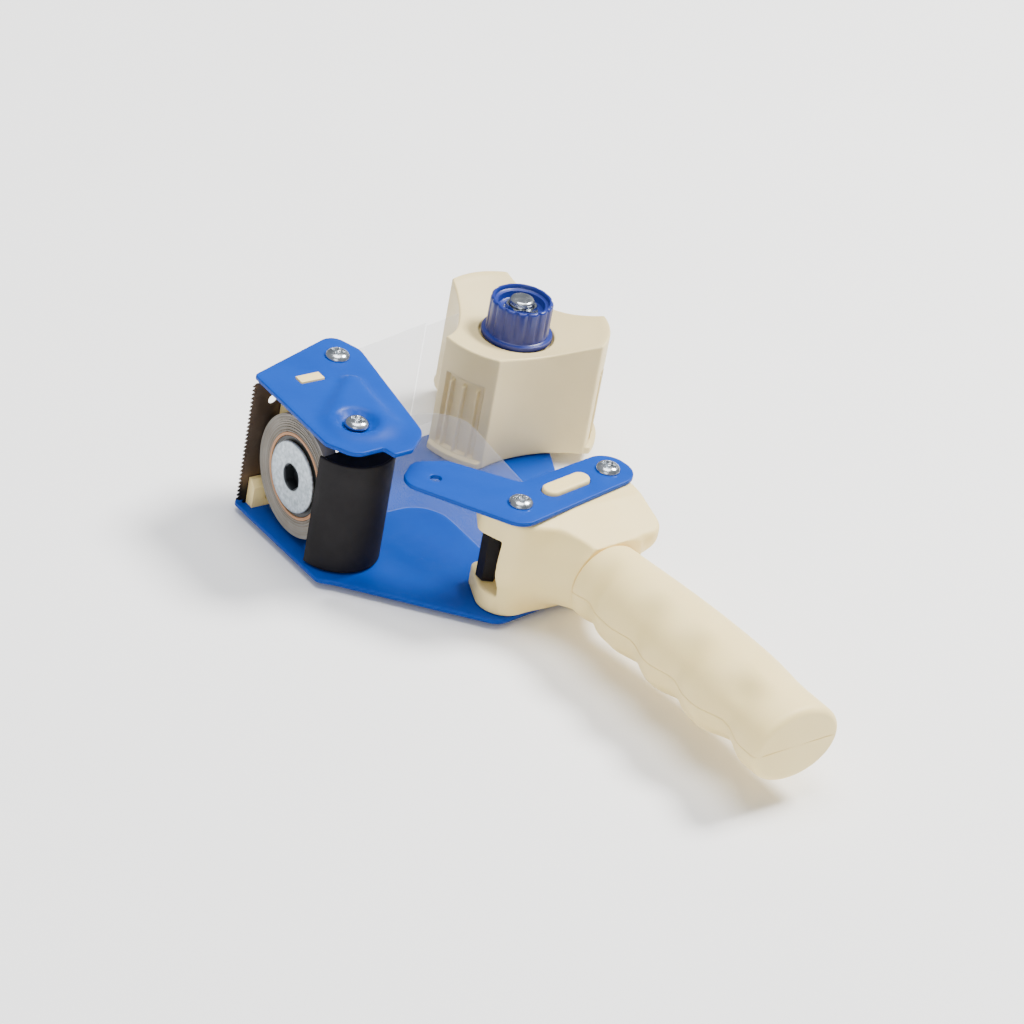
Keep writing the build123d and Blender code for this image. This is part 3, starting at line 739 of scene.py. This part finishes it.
def wing_offset(point, z):
    """How far the hub's side stands out at a height: the panel sunk in each wing, its ribs, and the lip."""
    angle = math.degrees(math.atan2(point[1], point[0]))
    off = (angle - HUB_WING_MID + 60) % 120 - 60
    radius = math.hypot(point[0], point[1])
    arc = math.radians(off) * radius
    edge = math.radians(PANEL_HALF) * HUB_R
    sunk = between(arc, -edge, edge, 0.7) * between(z, PANEL_LOW, PANEL_HIGH, 0.8)
    depth = -PANEL_DEPTH * sunk
    for rib in (-1, 0, 1):
        away = abs(arc - math.radians(rib * RIB_STEP) * HUB_R)
        crown = math.sqrt(max(0.0, 1 - (away / (RIB_W / 2)) ** 2))
        end = 1 - smooth(z, RIB_TOP - 1.5, RIB_TOP)
        depth += sunk * RIB_H * min(1.0, crown * 1.3) * end
    on_wing = between(off, -18.5, 18.5, 3.0) * smooth(radius, HUB_R - 4.5, HUB_R - 0.8)
    lip = LIP_OUT * on_wing * (1 - smooth(z, 5.5, 6.3))
    return depth + lip


def hub():
    bm = bmesh.new()
    line, normal = hub_outline(HUB_COLUMNS)
    radii = np.hypot(*line.T)
    top = DISH_Z + DISH_SLOPE * radii
    heights = [HUB_Z, HUB_Z + 0.12, HUB_Z + 0.35, HUB_Z + 0.7]
    heights += [3.9, 4.4, 4.9, 5.4, 5.6, 5.8, 6.0, 6.2, 6.4, 6.55, 6.75, 6.95, 7.15, 7.35, 7.8]
    heights += [9 + 2.05 * k for k in range(14)] + [36.2, 36.6, 36.9, 37.2, 37.5, 37.8, 38.3, 38.8]
    heights += [38.95, 39.15, 39.35, 39.55, 39.75, 40.6, 41.8, 43.0, 44.2]
    insets = {HUB_Z: 0.7, HUB_Z + 0.12: 0.4, HUB_Z + 0.35: 0.12}
    rings = []
    for z in heights:
        ring = []
        for (x, y), (nx, ny) in zip(line, normal):
            shift = wing_offset((x, y), z) - insets.get(z, 0.0)
            ring.append((x + nx * shift, y + ny * shift, z))
        rings.append(ring)
    last = heights[-1]
    for share in (0.35, 0.7, 0.9):
        rings.append([(x, y, last + (t - HUB_EDGE_R - last) * share) for (x, y), t in zip(line, top)])
    for step in range(0, 7):
        angle = math.pi / 2 * step / 6
        shift = HUB_EDGE_R * (1 - math.cos(angle))
        rings.append([(x - nx * shift, y - ny * shift, t - HUB_EDGE_R + HUB_EDGE_R * math.sin(angle))
                      for (x, y), (nx, ny), t in zip(line, normal, top)])
    edge_ring = rings[-1]
    lead_r = POCKET_R + POCKET_EDGE_R
    for share in (0.12, 0.26, 0.42, 0.6, 0.8, 1.0):
        ring = []
        for column, (x, y, _) in enumerate(edge_ring):
            angle = math.atan2(y, x)
            r = math.hypot(x, y) * (1 - share) + lead_r * share
            ring.append((r * math.cos(angle), r * math.sin(angle), DISH_Z + DISH_SLOPE * r))
        rings.append(ring)
    rim_z = DISH_Z + DISH_SLOPE * lead_r
    directions = [math.atan2(y, x) for x, y, _ in edge_ring]

    def collar(radius, z):
        rings.append([(radius * math.cos(a), radius * math.sin(a), z) for a in directions])

    for step in range(1, 6):
        angle = math.pi / 2 * step / 5
        collar(lead_r - POCKET_EDGE_R * math.sin(angle), rim_z - POCKET_EDGE_R * (1 - math.cos(angle)))
    for radius, z in ((POCKET_R, POCKET_Z + 0.5), (POCKET_R - 0.15, POCKET_Z + 0.15),
                      (POCKET_R - 0.5, POCKET_Z), (SPRING_R + 0.4, POCKET_Z), (SPRING_R, POCKET_Z - 0.4),
                      (SPRING_R, WELL_Z + 0.4), (SPRING_R - 0.4, WELL_Z), (HUB_BORE_R + 0.4, WELL_Z),
                      (HUB_BORE_R, WELL_Z - 0.4), (HUB_BORE_R, HUB_Z + 0.4), (HUB_BORE_R + 0.4, HUB_Z)):
        collar(radius, z)
    for share in (0.25, 0.5, 0.75):
        ring = []
        for (x, y, _), a in zip(rings[0], directions):
            r = (HUB_BORE_R + 0.4) * (1 - share) + math.hypot(x, y) * share
            ring.append((r * math.cos(a), r * math.sin(a), HUB_Z))
        rings.append(ring)
    rings.append([(x, y, HUB_Z) for x, y, _ in rings[0]])
    loft(bm, moved_to(rings, *HUB_AT), caps=(False, False))
    finished("hub_moulding", bm, "hub", ["tape_hub"], crease=50)


def knob():
    low = 45.7
    collar_top = 47.9
    top = 62.2

    def fluted(angle, radius, height):
        flute = (1 + math.cos(angle * 16)) / 2
        if radius < 12.0 or height < collar_top + 0.4:
            return radius
        depth = 0.62 * flute ** 3 * smooth(height, collar_top + 0.6, collar_top + 2.2)
        return radius - depth

    section = [(9.4, 44.25), (9.4, low - 0.5), (9.7, low), (13.9, low), (14.25, low + 0.12),
               (14.4, low + 0.45), (14.4, collar_top - 0.55), (14.25, collar_top - 0.15), (13.9, collar_top),
               (13.1, collar_top + 0.05), (12.8, collar_top + 0.25), (12.7, collar_top + 0.7)]
    section += [(12.7, collar_top + 1.0 + 1.6 * k) for k in range(8)]
    section += [(12.68, top - 1.0), (12.55, top - 0.55), (12.25, top - 0.2), (11.85, top - 0.03),
                (11.5, top), (11.2, top - 0.05), (11.0, top - 0.35), (10.9, top - 1.2), (10.8, top - 1.6),
                (10.5, top - 1.8), (9.9, top - 1.85), (9.55, top - 2.0), (9.4, top - 2.4), (9.4, 57.7),
                (9.2, 57.4), (8.9, 57.3), (7.15, 57.3), (7.0, 57.1), (7.0, 47.8), (5.1, 47.8), (5.1, 44.25)]
    turned_piece("knob_fluted", "tension_knob", "knob", section, 384, HUB_AT, shape=fluted, crease=40)

    flange_top = 59.9

    def hexagon(angle, radius, height):
        if radius < 6.0 or height < 57.35:
            return radius
        return min(radius, 5.75 / math.cos(side_angle(angle, 6)))

    section = [(5.12, 47.85), (6.9, 47.85), (6.98, 48.0), (6.98, 57.28), (6.55, 57.38), (6.6, 57.6),
               (6.6, flange_top - 0.7), (6.35, flange_top - 0.25), (6.05, flange_top), (5.6, flange_top),
               (5.3, flange_top - 0.1), (5.12, flange_top - 0.35)]
    turned_piece("insert_turned", "knob_insert", "knob", section, 192, HUB_AT, shape=hexagon, crease=30)


def bolt():
    bm = bmesh.new()
    radius = 4.97
    end = 62.65
    count = 96
    pitch = 1.5
    thread_depth = 0.55
    thread_low, thread_high = 36.0, end - 0.9

    def square(angle):
        return min(4.98 / math.cos(side_angle(angle, 4)), 6.7)

    def threaded(z):
        fade = smooth(z, thread_low, thread_low + pitch) * (1 - smooth(z, thread_high - pitch, thread_high))
        deep = thread_depth * fade
        return lambda angle: radius - deep * abs(2 * ((z / pitch - angle / math.tau) % 1.0) - 1)

    section = [(4.0, -2.6), (7.6, -2.58), (8.9, -2.35), (9.6, -1.9), (9.95, -1.1), (10.0, -0.35),
               (9.85, -0.06), (9.5, 0.0), (square, 0.0), (square, 1.9), (radius, 1.9), (radius, 30.0)]
    rows = int((thread_high - thread_low) / pitch * 8)
    for row in range(rows + 1):
        z = thread_low + (thread_high - thread_low) * row / rows
        section.append((threaded(z), z))
    section += [(radius - 0.05, end - 0.8), (radius - 0.3, end - 0.45), (radius - 0.75, end - 0.15),
                (radius - 1.3, end - 0.02), (radius - 2.2, end), (1.2, end)]
    loft(bm, moved_to([round_ring(r, z, count) for r, z in section], *HUB_AT))
    finished("bolt_threaded", bm, "frame", ["hub_bolt"], crease=35)


# ------------------------------------------------------------------ screws
SHANK_R = 2.5


def screw(bm, x, y, seat_z, side, length, turn):
    """A domed screw with a cross recess; side is 1 for one that faces up, -1 for down."""
    count = 72
    head_r, head_h = 4.9, 2.55
    arm_w = 0.62

    def recess(px, py):
        a = abs(px * math.cos(turn) + py * math.sin(turn))
        b = abs(-px * math.sin(turn) + py * math.cos(turn))
        near, far = min(a, b), max(a, b)
        slot = (1 - smooth(near, arm_w - 0.15, arm_w + 0.25)) * (1 - smooth(far, 2.2, 2.9))
        core = 1 - smooth(math.hypot(px, py), 0.8, 1.6)
        return max(slot * (1.75 - 0.3 * far), core * 1.9)

    def dome(r):
        share = r / head_r
        return head_h * math.sqrt(max(0.0, 1 - share ** 2.6)) if share < 1 else 0.0

    radii = [head_r, 4.88, 4.82, 4.7, 4.5, 4.25, 4.0, 3.7] + [3.4 - 0.2 * k for k in range(17)]
    under = [(SHANK_R - 0.05, -length), (SHANK_R, -length + 0.3), (SHANK_R, -0.05), (4.75, 0.0), (4.88, 0.1)]
    rings = [round_ring(r, z, count) for r, z in under]
    for r in radii:
        rings.append([(px, py, max(0.15, dome(r) - recess(px, py)))
                      for px, py, _ in round_ring(r, 0.0, count)])
    loft(bm, [[(x + px, y + side * py, seat_z + side * pz) for px, py, pz in ring] for ring in rings])


def screws():
    random.seed(11)
    front_length, arm_length, bottom_length = 12.0, 9.0, 7.0
    bm = bmesh.new()
    for x, y in (POST, AXLE):
        screw(bm, x, y, TOP_Z + PLATE_T, 1, front_length, random.uniform(0.2, 1.2))
    for x, y in ARM_SCREWS:
        screw(bm, x, y, HEAD_TOP_Z + PLATE_T, 1, arm_length, random.uniform(0.2, 1.2))
    finished("screws_above", bm, "frame", ["top_screws"], crease=50)
    bm = bmesh.new()
    for x, y in [POST, AXLE] + ARM_SCREWS:
        screw(bm, x, y, 0.0, -1, bottom_length, random.uniform(0.2, 1.2))
    finished("screws_below", bm, "frame", ["bottom_screws"], crease=50)


# ------------------------------------------------------------------ reel and guide
def reel():
    random.seed(4)
    centre = (REEL_Y, REEL_Z)
    face = REEL_FACE_X
    back = face + 6.2
    section = [(17.46, back), (17.46, face + 0.25)]
    r = 17.6
    while r < 24.3:
        width = random.uniform(0.16, 0.42)
        height = face + random.uniform(0.0, 0.32)
        section += [(r, height + 0.12), (r + width * 0.3, height), (r + width * 0.7, height)]
        r += width
    section += [(24.45, face + 0.12), (24.6, face + 0.4), (24.6, back - 0.3), (24.35, back)]

    def wobble(angle, radius, height):
        if radius < 17.7 or radius > 24.4:
            return radius
        return radius + 0.05 * math.sin(3 * angle + radius)

    turned_piece("reel_layers", "reel_winding", "reel", section, 220, centre, axis="x", shape=wobble, crease=60)

    section = [(16.14, back), (16.14, face + 0.1), (16.3, face - 0.08), (16.7, face - 0.1),
               (17.2, face - 0.08), (17.38, face + 0.1), (17.38, back)]
    turned_piece("reel_core_ring", "reel_core", "reel", section, 160, centre, axis="x")

    section = [(6.05, back), (6.05, face + 0.3), (14.9, face + 0.35), (15.2, face + 0.3), (15.5, face + 0.22),
               (15.85, face + 0.25), (16.06, face + 0.5), (16.08, back - 0.2), (15.8, back)]
    turned_piece("reel_bushing_turned", "reel_bushing", "reel", section, 160, centre, axis="x")

    outer = face - 1.38

    def socket(angle, radius, height):
        if radius > 5.6 or height > face + 3.5:
            return radius
        return radius * math.cos(math.pi / 6) / math.cos(side_angle(angle + 0.3, 6))

    end = -107.4
    section = [(0.3, end), (5.5, end), (5.92, end - 0.3), (5.93, face - 0.2), (14.0, face - 0.22),
               (14.25, face - 0.4), (14.3, face - 0.7), (14.25, outer + 0.35), (14.05, outer + 0.12),
               (13.7, outer), (12.0, outer - 0.01)]
    section += [(11.4 - 0.6 * k, outer) for k in range(9)]
    section += [(6.3, outer), (5.55, outer + 0.05), (5.3, outer + 0.3), (5.2, outer + 0.8), (5.2, face + 3.2),
                (4.0, face + 3.45), (0.3, face + 4.2)]
    turned_piece("reel_pin_turned", "reel_pin", "frame", section, 192, centre, axis="x", shape=socket,
                 material=HEAD_STEEL, crease=35)


def guide():
    bm = bmesh.new()
    start, end = math.radians(188.0), math.radians(352.0)
    outer_r, wall = 16.8, 1.3
    middle_r = outer_r - wall / 2
    steps = 72
    angles = [start + (end - start) * k / steps for k in range(steps + 1)]
    path = [Vector((AXLE[0] + middle_r * math.cos(angle), AXLE[1] + middle_r * math.sin(angle)))
            for angle in angles]
    strip(bm, path, wall, 2.65, 50.45)
    for low in (2.6, 47.5):
        rows = []
        high = low + 1.8
        section = [(5.4, low), (15.6, low), (15.6, high), (5.4, high)]
        for angle in angles:
            rows.append([(AXLE[0] + r * math.cos(angle), AXLE[1] + r * math.sin(angle), z)
                         for r, z in section])
        loft(bm, rows)
        section = [(4.07, low + 0.1), (4.2, low), (5.4, low), (5.4, high), (4.2, high), (4.07, high - 0.1)]
        turned(bm, section + section[:1], 48, AXLE)
    finished("guide_shell", bm, "guide", ["front_guide"], crease=40)


# ------------------------------------------------------------------ handle
def handle_head():
    foot = rounded_outline([(-66.0, -76.5), (-79.2, -107.9), (-12.0, -104.0), (-9.0, -82.0), (-12.0, -79.5),
                            (-54.5, -86.4)],
                           [4.0, 11.0, 6.0, 2.0, 2.0, 3.0], 0.8, 6.0)
    crown = rounded_outline([(-67.5, -76.5), (-77.5, -92.5), (-70.5, -107.5), (-54.0, -112.5),
                             (-44.0, -123.8), (-11.5, -123.0), (-10.5, -97.0), (-9.0, -82.0),
                             (-12.0, -79.5), (-54.5, -86.4)],
                            [4.0, 6.0, 9.0, 11.0, 6.0, 6.5, 30.0, 2.0, 2.0, 3.0], 0.8, 6.0)
    oblong = boss_outline(0.0)
    cos_t, sin_t = math.cos(HANDLE_TILT), math.sin(HANDLE_TILT)

    def field(x, y, z):
        low = blended_max(outline_distance(x, y, foot) + 0.0 * z, np.abs(z - 22.5) - 20.48, 1.4)
        roof = z - (HEAD_TOP_Z - 0.30 * np.clip(-105.0 - y, 0, 30))
        under = 17.0 + 0.75 * np.clip(-104.0 - y, 0, 30) - z
        upper = blended_max(blended_max(outline_distance(x, y, crown) + 0.0 * z, roof, 2.2), under, 7.0)
        along = np.clip((-(y + 100.0)) * cos_t + (x - HANDLE_X) * sin_t, 0, 24.6)
        cx = HANDLE_X + along * sin_t
        share = np.clip(along / 24.6, 0, 1)
        share = share * share * (3 - 2 * share)
        wide_r = 30.0 + (16.2 - 30.0) * share
        tall_r = 19.0 + (16.2 - 19.0) * share
        cz = HANDLE_Z - 1.0 + 1.0 * share
        ratio = np.sqrt(((x - cx) / wide_r) ** 2 + ((z - cz) / tall_r) ** 2 + 1e-6)
        neck = (ratio - 1) * np.minimum(wide_r, tall_r)
        beyond = -(y - COLLAR_Y) * cos_t + (x - HANDLE_X) * sin_t
        neck = np.maximum(blended_max(neck, beyond, 0.5), y + 98.0)
        body = blended_min(blended_min(low, upper, 3.5), neck, 6.5)
        body = np.maximum(body, 2.02 - z)
        body = blended_max(body, roof, 0.5)
        body = np.maximum(body, beyond)
        slot = np.maximum(np.maximum(x + 54.5, -(x + 90)), np.abs(z - 23.0) - 12.5)
        slot = blended_max(slot, np.maximum(y + 60, -(y + 102.3)), 0.6)
        body = blended_max(body, -slot, 0.9)
        slit = np.maximum(np.abs(x + 50.0) - 0.5, np.maximum(-89.0 - y, np.abs(z - 24.0) - 24.0))
        body = np.maximum(body, -slit)
        rise = outline_distance(x, y, oblong)
        plug = blended_max(rise + 0.0 * z, np.abs(z - HEAD_TOP_Z) - 3.45, 1.2)
        return np.minimum(body, plug)

    bm = bmesh.new()
    skinned(bm, field, (-81.0, -127.0, 0.0), (-6.0, -74.0, 50.5), 0.75)
    finished("head_moulding", bm, "frame", ["handle_head"], crease=45)


GRIP_L = 117.0
FINGERS = ((0.085, 8.5, 1.9), (0.32, 12.5, 2.7), (0.54, 12.5, 2.9), (0.80, 15.0, 4.2))


def grip_columns():
    """Directions round the grip, close together at the two parting lines."""
    line = [math.tau * k / 128 for k in range(128)]
    for seam in (0.0, math.pi):
        line = [a for a in line if abs((a - seam + math.pi) % math.tau - math.pi) > 0.06]
        line += [(seam + step) % math.tau
                 for step in (-0.05, -0.032, -0.02, -0.01, 0.0, 0.01, 0.02, 0.032, 0.05)]
    return sorted(line)


def grip_radius(along, angle):
    """Radius of the oval grip, by distance from the collar and direction.

    Direction 0 is the palm side, and pi is the fingers'.
    """
    share = along / GRIP_L
    waist = 1.6 * math.exp(-((share - 0.84) / 0.1) ** 2)
    palm = 16.0 + 4.6 * share + 3.6 * math.sin(math.pi * share) - waist
    finger = 16.0 + 4.0 * share + 1.0 * math.sin(math.pi * share)
    half_height = 16.0 - 0.6 * share + 1.5 * math.sin(math.pi * share)
    deepest = 0.0
    for place_at, half, depth in FINGERS:
        gap = (along - GRIP_L * place_at) / half
        if abs(gap) < 1:
            deepest = max(deepest, depth * (0.5 + 0.5 * math.cos(math.pi * gap)))
    across, up = math.cos(angle), math.sin(angle)
    half_width = finger if across < 0 else palm
    oval = 1 / math.hypot(across / half_width, up / half_height)
    oval -= deepest * smooth(-across, 0.0, 0.8)
    seam = min(abs(angle), abs(angle - math.pi), abs(angle - math.tau)) * oval
    return oval - 0.32 * math.exp(-(seam / 0.22) ** 2)


def grip():
    cos_t, sin_t = math.cos(HANDLE_TILT), math.sin(HANDLE_TILT)
    columns = grip_columns()

    def ring(along, scale=1.0, shrink=0.0):
        points = []
        for angle in columns:
            r = (grip_radius(min(along, GRIP_L), angle) - shrink) * scale
            across, up = r * math.cos(angle), r * math.sin(angle)
            points.append((HANDLE_X + along * sin_t + across * cos_t,
                           COLLAR_Y - along * cos_t + across * sin_t, HANDLE_Z + up))
        return points

    collar_groove = ((0.6, 0.70), (0.2, 0.72), (0.2, 0.90), (0.3, 0.915), (0.8, 0.92), (0.9, 0.955),
                     (1.1, 0.985), (1.5, 1.0))
    rings = [ring(along, scale) for along, scale in collar_groove]
    along = 2.4
    while along < GRIP_L - 3.0:
        rings.append(ring(along))
        along += 1.15
    butt_r = 2.6
    for step in range(9):
        angle = math.pi / 2 * step / 8
        rings.append(ring(GRIP_L - butt_r + butt_r * math.sin(angle), 1.0, butt_r * (1 - math.cos(angle))))
    for scale in (0.93, 0.8, 0.6, 0.4, 0.2, 0.08):
        rings.append(ring(GRIP_L, scale, butt_r))
    for ring_number in range(len(rings) - 6, len(rings)):
        for number, angle in enumerate(columns):
            if min(angle, abs(angle - math.pi), math.tau - angle) < 0.011:
                x, y, z = rings[ring_number][number]
                rings[ring_number][number] = (x - 0.3 * sin_t, y + 0.3 * cos_t, z)
    bm = bmesh.new()
    loft(bm, rings)
    finished("grip_moulding", bm, "frame", ["grip"], crease=50)


def roller():
    def hexagon(angle, radius, height):
        if radius < 2.5:
            return radius
        return min(radius, (radius - 0.45) * 0.9 / math.cos(side_angle(angle, 6)) + 0.08)

    section = [(1.57, 10.9), (3.9, 10.85), (4.4, 11.0), (4.58, 11.4), (4.58, 34.6), (4.4, 35.0), (3.9, 35.15),
               (1.57, 35.1)]
    turned_piece("roller_bar", "guide_roller", "roller", section, 96, ROLLER_AT, shape=hexagon, crease=30)


def posts():
    """The spacer post and the guide's axle: turned bars with chamfered ends, tapped at both."""
    low, high = PLATE_T + 0.02, TOP_Z - 0.02
    chamfer = 0.4
    lower_tap, upper_tap = 7.6, 47.0
    for name, cad_node, centre, radius in (("post_turned", "spacer_post", POST, 5.0),
                                           ("axle_turned", "front_axle", AXLE, 4.0)):
        section = [(SHANK_R, lower_tap), (SHANK_R, low), (radius - chamfer, low), (radius, low + chamfer)]
        section += [(radius, low + (high - low) * step / 6) for step in range(1, 6)]
        section += [(radius, high - chamfer), (radius - chamfer, high), (SHANK_R, high), (SHANK_R, upper_tap)]
        section += [(0.05, upper_tap - 1.0), (0.05, lower_tap + 1.0)]
        turned_piece(name, cad_node, "frame", section, 64, centre, crease=30)


# ------------------------------------------------------------------ clear film
FILM_T = 0.38                          # drawn thicker than its 0.1 mm, as the CAD's
FILM_LOW = 2.85
FILM_BEND_R = 14.0
FILM_BEND_AT = (-64.0, -42.0)
FILM_FRONT_Y = -28.0


def near_film_top(point):
    """The near film's upper edge falls towards the head, and drops a little where it turns to the front."""
    return 47.7 + (point.y + 46.0) * 0.1 - 3.0 * smooth(point.y, -46.0, FILM_FRONT_Y)


def between_points(start, end, steps):
    return [Vector(start).lerp(Vector(end), k / steps) for k in range(steps + 1)]


def films():
    near = [Vector(point) for point in ((-50.0, -88.0), (-50.0, -80.9), (-50.0, -74.0), (-50.05, -64.0),
                                        (-50.0, -54.0), (-49.95, -47.0))]
    for step in range(13):
        angle = math.radians(90 * step / 12)
        near.append(Vector((FILM_BEND_AT[0] + FILM_BEND_R * math.cos(angle),
                            FILM_BEND_AT[1] + FILM_BEND_R * math.sin(angle))))
    near += [Vector((-69.0, FILM_FRONT_Y - 0.05))]
    near += [Vector((x, FILM_FRONT_Y)) for x in (-74.5, -79.5, -84.0)]
    far = between_points((-79.5, 9.0), (-30.3, 19.3), 10)
    tail = between_points((-29.2, 19.5), (-11.6, 23.1), 6)
    for name, path, low, top, body, cad_node in (
            ("film_near", near, FILM_LOW, near_film_top, "frame", "guide_film"),
            ("film_far", far, FILM_LOW, 53.75, "frame", "leader_film"),
            ("film_tail", tail, FILM_LOW + 0.5, 52.15, "hub", "leader_tail")):
        bm = bmesh.new()
        strip(bm, path, FILM_T, low, top)
        finished(name, bm, body, [cad_node], crease=50)


plates()
hub()
knob()
bolt()
screws()
reel()
guide()
handle_head()
grip()
roller()
films()
softened("bracket_moulding", "front_bracket", "frame", 0.5)
softened("blade_ground", "cutting_blade", "frame", 0.06)
posts()


# ------------------------------------------------------------------ floor, light and camera
def floor():
    half = 3.0
    low = min(corner[2] for corner in CAD_BOX)
    mesh = bpy.data.meshes.new("floor")
    mesh.from_pydata([(-half, -half, low), (half, -half, low), (half, half, low), (-half, half, low)], [],
                     [(0, 1, 2, 3)])
    sheet_floor = bpy.data.objects.new("floor", mesh)
    bpy.context.collection.objects.link(sheet_floor)
    material, tree, surface = shader("pale floor", Specular_IOR_Level=0.25)
    tree.links.new(ramp(tree, noise(tree, 6, 3), [(0.3, (0.94, 0.937, 0.932)), (0.7, (0.96, 0.958, 0.955))]),
                   surface.inputs["Base Color"])
    tree.links.new(spread(tree, noise(tree, 9, 3), 0.55, 0.65), surface.inputs["Roughness"])
    mesh.materials.append(material)


def area_light(name, size, power, place_from, aim, colour):
    light = bpy.data.lights.new(name, "AREA")
    light.shape = "DISK"
    light.size = size
    light.energy = power
    light.color = colour
    lamp = bpy.data.objects.new(name, light)
    lamp.location = place_from
    lamp.rotation_euler = (aim - Vector(place_from)).to_track_quat("-Z", "Y").to_euler()
    bpy.context.collection.objects.link(lamp)


def camera():
    elevation = math.radians(31.8)
    azimuth = math.radians(-40.0)
    roll = math.radians(10.6)
    distance = 1.9685
    lens = bpy.data.cameras.new("camera")
    lens.lens = 175.8
    lens.sensor_width = 36.0
    lens.clip_end = 20.0
    viewer = bpy.data.objects.new("camera", lens)
    bpy.context.collection.objects.link(viewer)
    forward = Vector((-math.sin(azimuth) * math.cos(elevation), math.cos(azimuth) * math.cos(elevation),
                      -math.sin(elevation)))
    level = forward.cross(Vector((0, 0, 1))).normalized()
    up = level.cross(forward)
    right = level * math.cos(roll) + up * math.sin(roll)
    up = up * math.cos(roll) - level * math.sin(roll)
    turn = Matrix((right, up, -forward)).transposed().to_4x4()
    viewer.matrix_world = Matrix.Translation(place(-20.3, -42.3, 0) - forward * distance) @ turn
    bpy.context.scene.camera = viewer


floor()
camera()
MIDDLE = place(-40, -60, 20)
area_light("key", 0.7, 100, (1.25, -0.05, 1.75), MIDDLE, (1.0, 0.985, 0.955))
area_light("top", 1.4, 44, (-0.1, 0.1, 2.1), MIDDLE, (1.0, 1.0, 1.0))
area_light("fill", 1.4, 12, (-1.5, -1.2, 1.1), MIDDLE, (0.95, 0.975, 1.0))
world = bpy.data.worlds.new("studio")
bpy.context.scene.world = world
world.use_nodes = True
world.node_tree.nodes["Background"].inputs[0].default_value = (0.93, 0.95, 1.0, 1)
world.node_tree.nodes["Background"].inputs[1].default_value = 0.5
